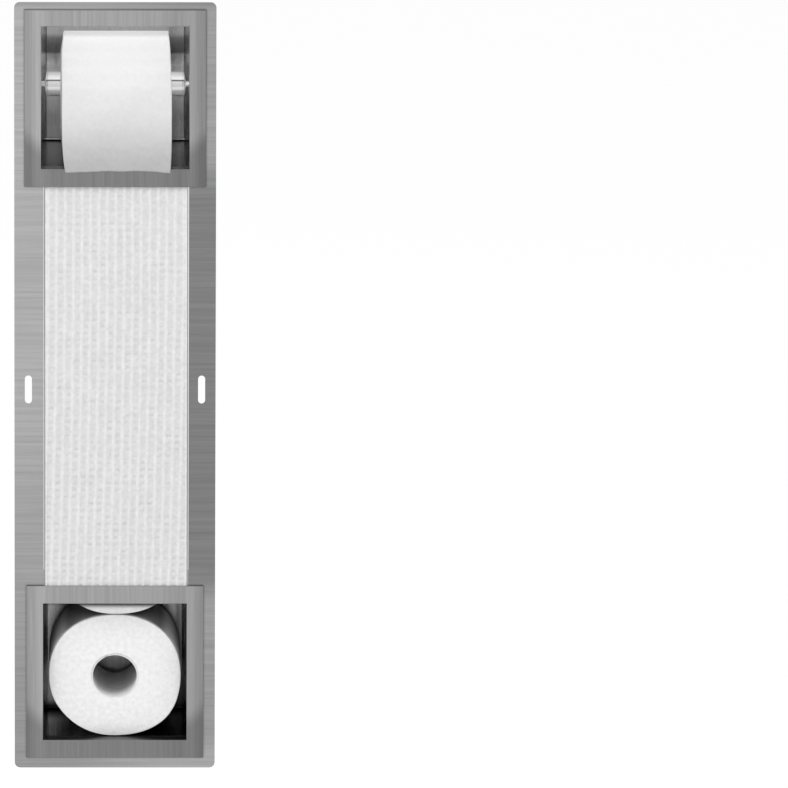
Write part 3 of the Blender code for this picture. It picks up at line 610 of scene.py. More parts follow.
def lower_box_shade(tree, x, y, z):
    """Painted light and shade: the back is dark low down in its corners and lighter higher up, darkest
    at its fold, the floor is lighter at the left, the mouth is dark, and the middle, seen through the
    core, keeps its grey.
    """
    corner_top = sweep(tree, x, *CORNER_TOP_TONES)
    corner = sweep(tree, z, *CORNER_TOP, sweep(tree, z, *CORNER_RISE), corner_top)
    corner = times(tree, corner, sweep(tree, x, *CORNER_RIGHT))
    back = sweep(tree, math_of(tree, "ABSOLUTE", x), *BEHIND_CORE, corner)
    back = sweep(tree, z, *BACK_FOLD, back)
    plate = times(tree, sweep(tree, x, *PLATE_TONE), sweep(tree, y, *PLATE_DEEP))
    deep = sweep(tree, y, *PLATE_END, plate, back)
    return inside_only(tree, z, LOWER_LID, sweep(tree, y, *MOUTH, deep))


def cheek_shade(tree, x, y, z):
    """The cheeks are polished inside, where they are painted a light grey and, in the lower box, a
    little darker as shade, and as grey as the other sheets outside.
    """
    inwards = times(tree, normal_of(tree)["X"], x)
    inside = sweep(tree, z, *CHEEK_INSIDE)
    return sweep(tree, inwards, *CHEEK_LOOKS_INWARDS, inside, CHEEK_OUTSIDE)


# %% [markdown]
# Each finish has its pieces, its grey, its grain, its roughness and what else differs. The steel is one,
# but the greys were set to how light the sheets look, so they hold painted light and shade; the
# cheeks' light grey shows it most. The boxes and the tray get no lines of crevice shade, since their
# tones are painted.

# %% Finishes
CHEEKS = ["upper_cheek_left", "upper_cheek_right", "lower_cheek_left", "lower_cheek_right"]
BOX = {"crevice_shade_depth": 0.0, "edge": SHARP_EDGE}
FLANGE = {"shade": flange_shade, "edge": SHARP_EDGE}
CHEEK = {"shade": cheek_shade, "crevice_shade_depth": 0.0}
TRAY = {"shade": tray_shade, **BOX}
UPPER_FRAME = {"shade": frame_shade(UPPER_FRAME_LOW), "edge": ROUNDED_EDGE}
LOWER_FRAME = {"shade": frame_shade(LOWER_FRAME_LOW), "edge": ROUNDED_EDGE}
UPPER_BOX = {"shade": upper_box_shade, "glance": 0.3, **BOX}
LOWER_BOX = {"shade": lower_box_shade, "glance": 0.6, **BOX}
FINISHES = [
    ("flange_brushed", ["wall_flange"], 0.30, GRAIN_ACROSS, 0.38, FLANGE),
    ("upper_frame_brushed", ["upper_trim_frame"], 0.275, GRAIN_UPRIGHT, 0.34, UPPER_FRAME),
    ("lower_frame_brushed", ["lower_trim_frame"], 0.285, GRAIN_UPRIGHT, 0.34, LOWER_FRAME),
    ("cheek_brushed", CHEEKS, 0.88, GRAIN_UPRIGHT, 0.18, CHEEK),
    ("upper_box_brushed", ["upper_box_wrap"], 0.36, GRAIN_ROUND_BENDS, 0.18, UPPER_BOX),
    ("lower_box_brushed", ["lower_box_wrap"], 0.38, GRAIN_ROUND_BENDS, 0.18, LOWER_BOX),
    ("shaft_mill", ["shaft_channel"], 0.34, GRAIN_UPRIGHT, 0.45, {}),
    ("shoulder_mill", ["shaft_shoulder"], 0.34, GRAIN_ROUND_BENDS, 0.45, {}),
    ("tray_satin", ["panel_tray"], 0.42, GRAIN_UPRIGHT, 0.40, TRAY),
]
for steel, pieces, grey, grain, roughness, settings in FINISHES:
    dress(brushed_steel(steel, grey, grain, roughness, **settings), *pieces)
print("brushed steel in", len(FINISHES), "finishes")

# %% [markdown]
# Toilet tissue is creped: it leaves the drying drum in fine wrinkles across the sheet, and is then
# embossed. From a step away that reads as a soft, slightly mottled white with tiny shadows. The group
# makes the fine wrinkles and the soft mottling, and each paper gives its own size.

# %% Tissue crepe group
FIBRE_SCALE = 900.0
FIBRE_SHARE = 0.6
PILLOW_SCALE = 260.0
CLOUD_SCALE = 270.0


def make_crepe_group():
    inputs = {"Place": None, "Fineness": 1.0}
    tree, given, end = open_group("tissue_crepe", inputs, ("Mottle", "Height"))
    place, fineness = given["Place"], given["Fineness"]
    fibres = clouds(tree, place, times(tree, fineness, FIBRE_SCALE), 4.0)
    feeds = {"Vector": place, "Scale": times(tree, fineness, PILLOW_SCALE)}
    pillows = add(tree, "ShaderNodeTexVoronoi", feeds, feature="SMOOTH_F1").outputs["Distance"]
    height = weigh(tree, fibres, FIBRE_SHARE, pillows)
    mottle = math_of(tree, "SUBTRACT", clouds(tree, place, CLOUD_SCALE), 0.5)
    feed(tree, end, {"Mottle": mottle, "Height": height})
    return tree


crepe_group = make_crepe_group()
print("group", crepe_group.name)

# %% [markdown]
# Wound tissue shows two faces: the smooth outside of the roll, and its ends, where hundreds of plies
# lie in a spiral. The spiral is drawn from the mesh's own map, which stores the turn and the radius, so
# the ply lines run round the core on every roll. A hanging sheet is one ply thick. Over the roll it
# is backed by more paper, and below it has dark steel behind it, so it turns greyer towards its end;
# that greying is painted, and so are the shade on its top and the lighter and darker bands of its bow.

# %% Tissue materials
TISSUE_WHITE = 0.88
TISSUE_GLOSS = {"Roughness": 0.95, "Specular IOR Level": 0.1}
RELIEF_DEPTH = 0.0003
PLY_PITCH = 0.0011
PLY_TONE = 0.018
PLY_HEIGHT = 0.35
ROLL_MOTTLE = 0.26
ROLL_CREVICE_SHADE_REACH = 0.012
RADIUS_PER_MAP = 0.1
WINDOW_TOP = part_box("lower_box_wrap")[1].z
SPARE_BESIDE_WALL = (0.040, 0.049, 0.40, 1.0)
SPARE_DEEP = (0.0115, 0.020, 1.0)
BEHIND_BAR = 0.10
BELOW_BAR = [(-0.0095, -0.0045, 1.13), (-0.0135, -0.0115, 1.0)]
SHEET_MOTTLE = 0.09
# Painted light and shade of the hanging sheet: greyer where it is one ply, darker towards its end, bands
# on its bow and shade at its top.
ONE_PLY_SHADE = (-0.030, 0.005, 0.83, 1.03)
SHEET_END = (0.0, 0.066, 0.72, 1.0)
SHEET_TOP = 0.76
SHEET_BANDS = [(0.0145, 0.0172, 1.05), (-0.005, 0.006, 0.925), (-0.022, -0.012, 1.0)]


def spare_shade(tree, x, y, z):
    """Painted shade: spare rolls are darker deep in the box, but less beside its walls, and behind the
    window's bar, with a painted light line just below the bar.
    """
    beside_wall = sweep(tree, math_of(tree, "ABSOLUTE", x), *SPARE_BESIDE_WALL)
    over = bands(tree, z, BEHIND_BAR, BELOW_BAR, WINDOW_TOP)
    return times(tree, sweep(tree, y, *SPARE_DEEP, beside_wall), over)


def tissue_wound(name, crevice_shade_depth, shade=None):
    """Painted shade darkens the paper close to its neighbours."""
    made, tree, place = open_material(name)
    crevices = use_group(tree, crevice_shade_group, Reach=ROLL_CREVICE_SHADE_REACH, Depth=crevice_shade_depth)
    crepe = use_group(tree, crepe_group, Place=place, Fineness=1.0)
    drift = use_group(tree, drift_group, Place=place, Size=0.05, Depth=0.05)
    winding = axes(tree, add(tree, "ShaderNodeUVMap", None, uv_map="winding").outputs[0])
    plies = times(tree, winding["Y"], RADIUS_PER_MAP / PLY_PITCH)
    spiral = math_of(tree, "ADD", plies, winding["X"])
    wave = math_of(tree, "SINE", times(tree, spiral, 2 * math.pi))
    mottle = weigh(tree, crepe["Mottle"], ROLL_MOTTLE, weigh(tree, wave, PLY_TONE, 1.0))
    # Crevices take painted shade, and spare rolls their own painted shade as well.
    tone = shaded(tree, place, times(tree, mottle, drift["Tone"], crevices["Factor"]), shade)
    height = weigh(tree, wave, PLY_HEIGHT, crepe["Height"])
    return finish(made, TISSUE_WHITE, tone, TISSUE_GLOSS, (height, 0.35, RELIEF_DEPTH))


def tissue_hanging(name, backed, end):
    """All painted light and shade: the sheet is whitest on the roll, a little greyer where it is one
    ply, greyest at its end, darker at its top in the frame's shade and banded on its bow. Backed is the
    height above which more paper lies behind it."""
    made, tree, place = open_material(name)
    crepe = use_group(tree, crepe_group, Place=place, Fineness=0.8)
    z = axes(tree, place)["Z"]
    start, stop, thin, thick = ONE_PLY_SHADE
    one_ply_shade = sweep(tree, z, backed + start, backed + stop, thin, thick)
    start, stop, grey, white = SHEET_END
    fall = sweep(tree, z, end + start, end + stop, grey, white)
    tone = times(tree, one_ply_shade, fall, bands(tree, z, SHEET_TOP, SHEET_BANDS, backed))
    tone = weigh(tree, crepe["Mottle"], SHEET_MOTTLE, tone)
    return finish(made, TISSUE_WHITE, tone, TISSUE_GLOSS, (crepe["Height"], 0.30, RELIEF_DEPTH))


tissue_spare = tissue_wound("tissue_spare_rolls", 0.45, spare_shade)
tissue_in_use = tissue_wound("tissue_roll_in_use", 0.3)
print("tissue for the spare rolls and for the roll in use")

# %% [markdown]
# A roll is a spiral of soft paper, so it is never a true cylinder: its ends are slightly ridged, its
# rims are soft and its outline is a little lumpy where it was pressed in its packet. It is built as
# rings of points: each ring has a radius and a depth, and the points on it are pushed by smooth noise.
# The spare rolls are pressed flatter in height, most at the outside. All lumps go inwards, so that
# the roll stays inside the space that the construction model gives it.

# %% Wound rolls
ROLL_COLUMNS = 120
FACE_RINGS = 30
RIM_ROUND = 0.0009
FACE_RIDGE = 0.00030
LUMP_DEPTH = 0.0006
CORE_CLEARANCE = 0.0001
LUMP_SCALE = 1.9
LUMP_MIDDLE = 0.6
RIDGE_SCALE = 0.8
RING_STEP = 1.9
SHOULDER_START = 0.66
SPARE_SQUARENESS = 0.22
EVEN_SWELLING = 0.8
CORNER_SWELLING = 1.4
ROLL_SHOULDER = 0.0022
SEED_STEP = 7.3


def roll_rings(inner, outer, half):
    """(radius, depth, ridged) of each ring, from the bore's front round to the bore's back."""
    flat = outer - RIM_ROUND
    front = [(inner + (flat - inner) * i / FACE_RINGS, -half, i > 0) for i in range(FACE_RINGS + 1)]
    turns = [math.radians(angle) for angle in (22, 45, 68, 90)]
    rim = [(flat + RIM_ROUND * math.sin(a), -half + RIM_ROUND * (1 - math.cos(a)), False) for a in turns]
    side = [(outer, -half + RIM_ROUND + 2 * (half - RIM_ROUND) * i / 8, False) for i in range(1, 4)]
    near = front + rim + side
    far = [(radius, -depth, ridged) for radius, depth, ridged in reversed(near)]
    return near + [(outer, 0.0, False)] + far


def shoulder(radius, outer, depth):
    """How far the outer plies of a roll stand back from its ends."""
    share = max(radius / outer - SHOULDER_START, 0) / (1 - SHOULDER_START)
    return depth * share * share * (3 - 2 * share)


def swelling(angle, share, squareness):
    """How much further a squashed roll reaches between its flats than an oval does. It is most at
    its lower right."""
    uneven = EVEN_SWELLING + CORNER_SWELLING * max(-math.sin(angle), 0) * math.cos(angle)
    power = 2 + squareness * share * uneven
    return (abs(math.cos(angle)) ** power + abs(math.sin(angle)) ** power) ** (-1 / power)


def roll_points(rings, along, centre, outer, seed, flatten=1.0, squareness=0.0, sag=0.0, slope=0.0):
    """The points of a roll about an axis along X or Y. Flatten is its height over its width, sag is how
    far its bore has dropped, and slope is how far its outer plies stand back."""
    points = []
    for number, (radius, depth, ridged) in enumerate(rings):
        share = radius / outer
        for column in range(ROLL_COLUMNS):
            angle = 2 * math.pi * column / ROLL_COLUMNS
            around = Vector((math.cos(angle), math.sin(angle), seed))
            lump = (noise.noise(around * LUMP_SCALE) + LUMP_MIDDLE) / 2 * LUMP_DEPTH * share ** 2
            place = (around.x * RIDGE_SCALE + number * RING_STEP, around.y * RIDGE_SCALE, seed)
            ridge = noise.noise(Vector(place)) * FACE_RIDGE
            sunk = depth - math.copysign(abs(ridge), depth) if ridged else depth
            sunk -= math.copysign(min(shoulder(radius, outer, slope), abs(sunk)), sunk)
            reach = (radius - lump) * swelling(angle, share * share, squareness)
            across = reach * math.cos(angle)
            up = reach * math.sin(angle) * (1 - (1 - flatten) * share) - sag * (1 - share)
            if along == "Y":
                points.append((centre.x + across, centre.y + sunk, centre.z + up))
            else:
                points.append((centre.x + sunk, centre.y + across, centre.z + up))
    return points


def roll_faces(rings, along):
    """The faces between the rings, and a map of the turn and the radius at each of their corners."""
    faces, maps = [], []
    for ring in range(len(rings)):
        beside = (ring + 1) % len(rings)
        for column in range(ROLL_COLUMNS):
            following = (column + 1) % ROLL_COLUMNS
            corners = [(ring, column, column), (ring, following, column + 1)]
            corners += [(beside, following, column + 1), (beside, column, column)]
            if along == "X":
                corners.reverse()
            faces.append([r * ROLL_COLUMNS + c for r, c, _ in corners])
            maps += [(turn / ROLL_COLUMNS, rings[r][0] / RADIUS_PER_MAP) for r, _, turn in corners]
    return faces, maps


def wound_roll(name, material, along, centre, outer, half, inner, seed, **form):
    rings = roll_rings(inner, outer, half)
    points = roll_points(rings, along, centre, outer, seed, **form)
    faces, maps = roll_faces(rings, along)
    return link_mesh(name, points, faces, material, "winding", maps)


def spare_roll(number):
    node = f"spare_roll_{number}_paper"
    low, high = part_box(node)
    core_low, core_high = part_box(f"spare_roll_{number}_core")
    outer = (high.x - low.x) / 2
    inner = (core_high.x - core_low.x) / 2 + CORE_CLEARANCE
    centre = (low + high) / 2
    dropped = centre.z - (core_low.z + core_high.z) / 2
    piece = wound_roll(
        f"spare_roll_{number}_wound",
        tissue_spare,
        "Y",
        centre,
        outer,
        (high.y - low.y) / 2,
        inner,
        number * SEED_STEP,
        flatten=(high.z - low.z) / (high.x - low.x),
        squareness=SPARE_SQUARENESS,
        sag=dropped / (1 - inner / outer),
    )
    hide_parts(node)
    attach(piece, "spare_roll_1" if number == 1 else "holder")
    return piece


def make_roll_in_use():
    low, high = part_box("roll_in_use_paper")
    core_low, core_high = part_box("roll_in_use_core")
    inner = (core_high.z - core_low.z) / 2 + CORE_CLEARANCE
    half = (high.x - low.x) / 2
    middle = (low + high) / 2
    outer = (high.z - low.z) / 2
    piece = wound_roll(
        "roll_in_use_wound", tissue_in_use, "X", middle, outer, half, inner, 3.1, slope=ROLL_SHOULDER
    )
    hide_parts("roll_in_use_paper")
    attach(piece, "roll_in_use")
    return piece, middle, outer


spare_rolls = [spare_roll(number) for number in (1, 2, 3, 4)]
roll_in_use, ROLL_CENTRE, ROLL_RADIUS = make_roll_in_use()
spare_faces = sum(len(piece.data.polygons) for piece in spare_rolls)
print("five wound rolls,", spare_faces, "faces on the spare ones")

# %% [markdown]
# The free end of the paper comes over the front of the roll, bows out past the frame and ends in a
# torn perforation over its lower bar. It is one sheet of tissue: a grid of points that follows the
# side view and is then pushed in and out by soft creases, stronger where the paper hangs free. A cloth
# simulation would stretch so short a strip, and the shape is known, so it is drawn.

# %% Hanging paper
SHEET_LIFT = 0.0005
SHEET_THICKNESS = 0.0003
WRAP_START = math.radians(112)
LEAVE_ANGLE = math.radians(45)
END_ANGLE = math.radians(-10)
SHEET_COLUMNS = 72
WRAP_ROWS = 22
FALL_ROWS = 84
CREASE_DEPTH = 0.0010
END_LEFT_NARROWING = 0.0033
END_RIGHT_NARROWING = 0.0014
TOP_NARROWING = 0.0021
SHEET_SHIFT = 0.0008
FALL_DRIFT = 0.0007
END_REACH = 0.0010
EDGE_DROP = 0.0018
END_TOOTH = 0.00025
PRESSED_SHARE = 0.35
PRESSED_DEPTH = 0.0002
SLOW_CREASE = (1.4, 26, 4.2)
SHARP_CREASE = (1, 60, 9.7)
CREASE_WIDTH = 3.6
CREASE_SLANT = 30
CREASE_MIX = (0.9, 0.5)
CREASE_ON_ROLL = 0.12
CREASE_GROWTH = 2.2
DRIFT_GROWTH = 3
END_SHARPNESS = 7
END_WANDER = (2.1, 0.3, 1.7)
WANDER_SHARE = 0.35
TOP_ANGLES = (20, 80)
BACKED_SHARE = 0.70


def sheet_path():
    """(y, z, normal angle, share of the fall) of each row, from behind the roll's top to the end."""
    radius = ROLL_RADIUS + SHEET_LIFT
    rows = []
    for step in range(WRAP_ROWS):
        angle = WRAP_START + (LEAVE_ANGLE - WRAP_START) * step / WRAP_ROWS
        y = ROLL_CENTRE.y - radius * math.cos(angle)
        rows.append((y, ROLL_CENTRE.z + radius * math.sin(angle), angle, 0.0))
    leave_y = ROLL_CENTRE.y - radius * math.cos(LEAVE_ANGLE)
    leave_z = ROLL_CENTRE.z + radius * math.sin(LEAVE_ANGLE)
    end_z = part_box("paper_tail")[0].z - END_REACH
    bow = (leave_z - end_z) / (math.sin(LEAVE_ANGLE) - math.sin(END_ANGLE))
    for step in range(FALL_ROWS + 1):
        share = step / FALL_ROWS
        angle = LEAVE_ANGLE + (END_ANGLE - LEAVE_ANGLE) * share
        y = leave_y - bow * (math.cos(angle) - math.cos(LEAVE_ANGLE))
        rows.append((y, leave_z - bow * (math.sin(LEAVE_ANGLE) - math.sin(angle)), angle, share))
    return rows


def noise_at(x, y, scales):
    """Smooth noise. Scales are its pace along x, its pace along y and its place along a third axis."""
    return noise.noise(Vector((x * scales[0], y * scales[1], scales[2])))


def crease(across, share, z):
    """How far a point of the sheet is pushed out of its smooth path."""
    slow = noise_at(across, z, SLOW_CREASE)
    folds = noise_at(across * CREASE_WIDTH + z * CREASE_SLANT, z, SHARP_CREASE)
    height = CREASE_MIX[0] * slow + CREASE_MIX[1] * (1 - 2 * abs(folds)) * share
    free = CREASE_ON_ROLL + (1 - CREASE_ON_ROLL) * min(share * CREASE_GROWTH, 1)
    return CREASE_DEPTH * height * free


def sheet_points(rows, half_width):
    points = []
    for y, z, angle, share in rows:
        out = Vector((0, -math.cos(angle), math.sin(angle)))
        top = (math.degrees(angle) - TOP_ANGLES[0]) / (TOP_ANGLES[1] - TOP_ANGLES[0])
        half = half_width - TOP_NARROWING * min(max(top, 0), 1) ** 2
        drift = SHEET_SHIFT + FALL_DRIFT * min(share * DRIFT_GROWTH, 1)
        for column in range(SHEET_COLUMNS + 1):
            across = 2 * column / SHEET_COLUMNS - 1
            push = crease(across, share, z)
            if share < PRESSED_SHARE:
                push = max(push, -PRESSED_DEPTH)
            wander = noise_at(across, 1, END_WANDER)
            rise = EDGE_DROP * (1 - across * across + WANDER_SHARE * wander) * share ** 2
            tooth = END_TOOTH * (column % 2) if share == 1 else 0
            narrowing = END_LEFT_NARROWING if across < 0 else END_RIGHT_NARROWING
            x = (half - narrowing * share ** END_SHARPNESS) * across + drift
            points.append(Vector((x, y, z + rise + tooth)) + out * push)
    return points


def grid_faces(rows, columns):
    """The faces of a grid of points, which are listed row by row."""
    wide = columns + 1
    firsts = [row * wide + column for row in range(rows) for column in range(columns)]
    return [(first, first + 1, first + wide + 1, first + wide) for first in firsts]


def thicken(piece, thickness, offset):
    thick = piece.modifiers.new("thickness", "SOLIDIFY")
    thick.thickness = thickness
    thick.offset = offset


def make_hanging_paper():
    low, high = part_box("paper_tail")
    half_width = (high.x - low.x) / 2
    rows = sheet_path()
    faces = [(a, d, c, b) for a, b, c, d in grid_faces(len(rows) - 1, SHEET_COLUMNS)]
    backed = ROLL_CENTRE.z + ROLL_RADIUS * BACKED_SHARE
    material = tissue_hanging("tissue_hanging_end", backed, low.z)
    piece = link_mesh("hanging_paper", sheet_points(rows, half_width), faces, material)
    thicken(piece, SHEET_THICKNESS, 0)
    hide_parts("paper_tail")
    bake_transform(piece)
    return piece


hanging_paper = make_hanging_paper()

# %% [markdown]
# The panel is a white backer that tiles are glued to. Upright ribs run its whole length, and between
# them the face is pressed with rows of small hollows, like a coarse cloth. Ribs and hollows are real
# height in a grid mesh, since they catch the light, and the finest texture is bump. The mesh keeps
# each point's height as an attribute, so that the material can whiten the ribs as a painted highlight
# and grey the hollows as painted shade.

# %% Embossed panel
PANEL_WHITE = 0.79
PANEL_GLOSS = {"Roughness": 0.8, "Specular IOR Level": 0.25}
PANEL_MOTTLE = 0.28
PANEL_RELIEF_TONES = (0.90, 1.035)
PANEL_RIBS = 16.8
RIB_PHASE = 0.36
RIB_LEAN = 1.37
RIB_BOW = 0.84
RIB_START = 0.155
RIB_REACH = 0.36
RIB_WANDER = 0.07
EDGE_LIP = 0.17
LIP_SHARE = 0.9
RIB_POINTS = 12
HOLLOW_PITCH = 0.0062
HOLLOW_POINTS = 7
RIB_SHARE = 0.40
RIB_HEIGHT = 0.00045
HOLLOW_DEPTH = 0.00045
WANDER_STEP = (0.7, 0.35, 2.5)
HOLLOW_STEP = (3.3, 1.7, 7.0)
HOLLOW_FADE = 0.35
# a level is a base and how much it varies
RIB_LEVEL = (0.9, 0.35)
HOLLOW_LEVEL = (0.5, 1.3)
FADE_LEVEL = (1.15, 0.5)
RIB_BLUNTNESS = 0.7
HOLLOW_BLUNTNESS = 0.6
ROW_BLUNTNESS = 0.8
ROW_WANDER = 0.25
GROOVE_SHARE = 0.25


def panel_material():
    made, tree, place = open_material("panel_white")
    weave = use_group(tree, crepe_group, Place=place, Fineness=1.1)
    drift = use_group(tree, drift_group, Place=place, Size=0.03, Depth=0.06)
    relief = add(tree, "ShaderNodeAttribute", None, attribute_name="relief").outputs["Fac"]
    tone = weigh(tree, weave["Mottle"], PANEL_MOTTLE, drift["Tone"])
    # Painted highlight on the ribs and painted shade in the hollows.
    tone = times(tree, tone, sweep(tree, relief, 0.0, 1.0, *PANEL_RELIEF_TONES))
    return finish(made, PANEL_WHITE, tone, PANEL_GLOSS, (weave["Height"], 0.35, RELIEF_DEPTH))


def panel_height(across, up):
    """How far the face stands forward at a number of ribs across and of hollows up."""
    wander = noise_at(across, up, WANDER_STEP)
    climb = up * HOLLOW_PITCH / RIB_REACH - RIB_START
    lean = RIB_PHASE - RIB_LEAN * climb + RIB_BOW * climb * climb
    rib_place = (across + lean + RIB_WANDER * wander) % 1
    if min(across, PANEL_RIBS - across) < EDGE_LIP:
        return RIB_HEIGHT * LIP_SHARE
    if rib_place < RIB_SHARE:
        level = RIB_LEVEL[0] + RIB_LEVEL[1] * wander
        return RIB_HEIGHT * math.sin(math.pi * rib_place / RIB_SHARE) ** RIB_BLUNTNESS * level
    hollow = math.sin(math.pi * (rib_place - RIB_SHARE) / (1 - RIB_SHARE)) ** HOLLOW_BLUNTNESS
    row = max(math.sin(2 * math.pi * up) + ROW_WANDER * wander, 0) ** ROW_BLUNTNESS
    chance = noise_at(math.floor(across), math.floor(up), HOLLOW_STEP)
    strength = HOLLOW_LEVEL[0] + HOLLOW_LEVEL[1] * chance
    strength *= FADE_LEVEL[0] - FADE_LEVEL[1] * min(up * HOLLOW_PITCH / HOLLOW_FADE, 1)
    return -HOLLOW_DEPTH * hollow * (GROOVE_SHARE + row * max(strength, 0))


def make_panel():
    low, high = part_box("centre_panel")
    columns = round(PANEL_RIBS * RIB_POINTS)
    hollows = round((high.z - low.z) / HOLLOW_PITCH)
    rows = hollows * HOLLOW_POINTS
    face = low.y + RIB_HEIGHT
    points, relief = [], []
    for row in range(rows + 1):
        z = low.z + (high.z - low.z) * row / rows
        for column in range(columns + 1):
            x = low.x + (high.x - low.x) * column / columns
            height = panel_height(PANEL_RIBS * column / columns, row / HOLLOW_POINTS)
            points.append((x, face - height, z))
            relief.append((height + HOLLOW_DEPTH) / (RIB_HEIGHT + HOLLOW_DEPTH))
    faces = grid_faces(rows, columns)
    piece = link_mesh("tile_backer_face", points, faces, panel_material())
    stored = piece.data.attributes.new("relief", "FLOAT", "POINT")
    stored.data.foreach_set("value", relief)
    thicken(piece, high.y - face - RIB_HEIGHT, -1)
    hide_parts("centre_panel")
    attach(piece, "holder")
    print("panel with", PANEL_RIBS, "ribs and", hollows, "rows of hollows,", len(faces), "faces")


make_panel()

# %% [markdown]
# The spindle is turned metal: a tube with a cap at each end and a thin pin. It looks nearly white in
# the photograph, so it is mostly a light base colour with a little metal in it, and faint turning marks
# run round it. Cores are thin grey board, and the cups outside the box are moulded white plastic.
# Bands of painted reflection run round the tube, and the spare cores' board gets painted light and
# shade.

# %% Spindle, cores and cups
CUP_WHITE = 0.72
CARD_GREY = 0.78
CARD_MOTTLE = 0.12
CARD_RELIEF = 0.0002
CARD_DEPTH_TONES = (1.22, 0.80)
CARD_LIT_LENGTH = 0.028
CARD_SEAM = (0.0, 0.025, 0.62, 1.0)
SEAM_PITCH = 0.062
TURNING_STRETCH = (1.0, 0.02, 0.02)
TURNING_DEPTH = 0.06
# Painted reflections in bands round the tube, its left end painted a little darker, and the seam's dark
# line.
TUBE_TOP_TONE = 0.84
TUBE_SEAM_ANGLE = math.radians(27.0)
TUBE_SEAM = (0.045, 0.09, 0.15, 1.0)
TUBE_RIGHT = (-0.04, 0.04, 0.90, 1.0)
TUBE_BANDS = [(50, 57, 0.96), (22, 27, 0.68), (-9, 1, 1.08), (-22, -16, 0.80), (-45, -32, 1.08)]


def distance(tree, value, other):
    return math_of(tree, "ABSOLUTE", math_of(tree, "SUBTRACT", value, other))


def tube_shade(tree, place, middle):
    """Painted reflections in bands round a tube, by the angle above its front, a painted darker left
    end, and the fine line of its rolled seam.
    """
    parts = axes(tree, place)
    forward = math_of(tree, "SUBTRACT", middle.y, parts["Y"])
    up = math_of(tree, "SUBTRACT", parts["Z"], middle.z)
    turn = math_of(tree, "ARCTAN2", up, forward)
    steps = [(math.radians(start), math.radians(end), before) for start, end, before in TUBE_BANDS]
    seam = sweep(tree, distance(tree, turn, TUBE_SEAM_ANGLE), *TUBE_SEAM)
    seam = times(tree, seam, sweep(tree, parts["X"], *TUBE_RIGHT))
    return times(tree, bands(tree, turn, TUBE_TOP_TONE, steps), seam)


def turned_metal(name, grey, roughness, metallic=1.0, seam_and_reflections_about=None):
    """Its edges are lightened a little, as wear and a painted highlight. Given the middle of a rolled
    tube, it also draws the tube's seam as a fine line along its front and bands of painted reflection
    round it.
    """
    made, tree, place = open_material(name)
    grain = use_group(tree, grain_group, Place=place, Stretch=TURNING_STRETCH, Fineness=1.2)
    edge = use_group(tree, edge_wear_and_highlight_group, Width=0.0004, Amount=0.8)
    tone = weigh(tree, edge["Edge"], 0.1, weigh(tree, grain["Streaks"], TURNING_DEPTH, 0.97))
    if seam_and_reflections_about:
        tone = times(tree, tone, tube_shade(tree, place, seam_and_reflections_about))
    rough = weigh(tree, grain["Streaks"], TURNING_DEPTH, roughness)
    return finish(made, grey, tone, {"Roughness": rough, "Metallic": metallic})


def card(node, along):
    """Grey board for one core, wound as a strip whose seam runs round it in a spiral. A spare core's
    board is painted lighter near the front of its bore and darker deeper in, as painted light and shade.
    """
    low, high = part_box(node)
    middle = (low + high) / 2
    made, tree, place = open_material(node + "_board")
    crepe = use_group(tree, crepe_group, Place=place, Fineness=0.6)
    drift = use_group(tree, drift_group, Place=place, Size=0.02, Depth=0.12)
    parts = axes(tree, place)
    across, run, middle_across = ("X", "Y", middle.x) if along == "Y" else ("Y", "X", middle.y)
    across = math_of(tree, "SUBTRACT", parts[across], middle_across)
    up = math_of(tree, "SUBTRACT", parts["Z"], middle.z)
    turn = times(tree, math_of(tree, "ARCTAN2", up, across), 1 / (2 * math.pi))
    spiral = math_of(tree, "FRACT", weigh(tree, parts[run], 1 / SEAM_PITCH, turn))
    seam = sweep(tree, distance(tree, spiral, 0.5), *CARD_SEAM)
    tone = times(tree, weigh(tree, crepe["Mottle"], CARD_MOTTLE, drift["Tone"]), seam)
    if along == "Y":
        lit_end = low.y + CARD_LIT_LENGTH
        tone = times(tree, tone, sweep(tree, parts["Y"], low.y, lit_end, *CARD_DEPTH_TONES))
    relief = (weigh(tree, seam, 2.0, crepe["Height"]), 0.2, CARD_RELIEF)
    dress(finish(made, CARD_GREY, tone, {"Roughness": 0.9}, relief), node)


def moulded_plastic(name):
    made, tree, place = open_material(name)
    drift = use_group(tree, drift_group, Place=place, Size=0.01, Depth=0.05)
    return finish(made, CUP_WHITE, drift["Tone"], {"Roughness": 0.45})


barrel_middle = sum(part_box("spindle_barrel"), Vector()) / 2
spindle_bright = turned_metal("spindle_bright", 0.86, 0.34, 0.12, barrel_middle)
spring_drawn = turned_metal("spring_drawn", 0.45, 0.30)
dress(spindle_bright, "spindle_barrel", "spindle_cap_left", "spindle_cap_right")
dress(turned_metal("pin_bright", 0.84, 0.30, 0.3), "spindle_plunger")
dress(spring_drawn, "spindle_spring_seat")
dress(moulded_plastic("cup_white"), "spindle_cup_left", "spindle_cup_right")
card("roll_in_use_core", "X")
for spare in (1, 2, 3, 4):
    card(f"spare_roll_{spare}_core", "Y")
print("spindle, cups and cores dressed")

# %% [markdown]
# The spring keeps the right pin out. It is pressed together when the pin goes in, so it is a mesh of
# its own, a thin round wire along a helix. Its left end rests on the washer.

# %% Spring
SPRING_TURNS = 7
SPRING_STEPS = 24
WIRE_RADIUS = 0.0005
WIRE_SIDES = 8


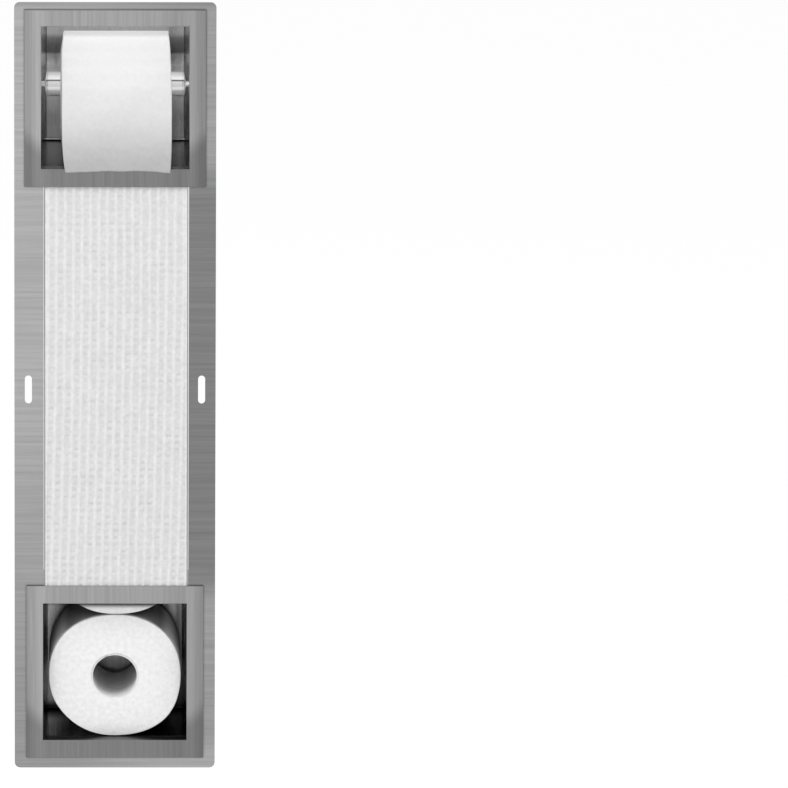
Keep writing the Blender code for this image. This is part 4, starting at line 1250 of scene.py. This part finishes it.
def make_spring():
    low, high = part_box("spindle_spring")
    middle = (low + high) / 2
    coil = (high.z - low.z) / 2 - WIRE_RADIUS
    run = high.x - low.x - 2 * WIRE_RADIUS
    count = SPRING_TURNS * SPRING_STEPS
    points = []
    for step in range(count + 1):
        turn = 2 * math.pi * step / SPRING_STEPS
        outwards = Vector((0, math.cos(turn), math.sin(turn)))
        centre = Vector((low.x + WIRE_RADIUS + run * step / count, middle.y, middle.z)) + outwards * coil
        for side in range(WIRE_SIDES):
            angle = 2 * math.pi * side / WIRE_SIDES
            around = outwards * math.cos(angle) + Vector((math.sin(angle), 0, 0))
            points.append(centre + around * WIRE_RADIUS)
    faces = [tuple(range(WIRE_SIDES)), tuple(reversed(range(count * WIRE_SIDES, len(points))))]
    for step in range(count):
        for side in range(WIRE_SIDES):
            first, beside = step * WIRE_SIDES + side, step * WIRE_SIDES + (side + 1) % WIRE_SIDES
            faces.append((beside, first, first + WIRE_SIDES, beside + WIRE_SIDES))
    spring = link_mesh("wound_spring", points, faces, spring_drawn)
    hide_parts("spindle_spring")
    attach(spring, "spindle")
    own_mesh(spring)


make_spring()

# %% [markdown]
# The box shades the roll's top and the spindle, which are nearly as white as the paper's front in the
# photograph. Four more soft lamps reach only these pieces and the spare rolls, and only they cast
# shadows in their light. The one for the paper stands behind, so that it lights the top of the roll and
# leaves the front as it is, and the spindle has one on each side. Light linking does that: a lamp has a
# collection of what it lights and one of what blocks it.

# %% Linked lamps
# name, place, size, watts and what it lights
SPINDLE_OUTSIDE = [nodes["spindle_" + part] for part in ("barrel", "cap_left", "cap_right", "plunger")]
LINKED_LAMPS = [
    ("paper_lamp", (-0.2, 1.2, 3.1), 1.2, 72, [hanging_paper, roll_in_use]),
    ("window_lamp", (0.3, -3.0, 1.9), 1.6, 14, spare_rolls[:2]),
    ("spindle_lamp_left", (-1.5, -1.9, 2.3), 2.4, 52, SPINDLE_OUTSIDE),
    ("spindle_lamp_right", (1.5, -1.9, 2.3), 2.4, 52, SPINDLE_OUTSIDE),
]


def make_linked_lamp(name, place, size, watts, lit_pieces):
    lamp = make_lamp(name, place, ROLL_CENTRE, size, watts)
    lit = bpy.data.collections.new("lit_by_" + name)
    for piece in lit_pieces:
        lit.objects.link(piece)
    lamp.light_linking.receiver_collection = lit
    lamp.light_linking.blocker_collection = lit
    print(name, "on", len(lit_pieces), "pieces")


for linked in LINKED_LAMPS:
    make_linked_lamp(*linked)
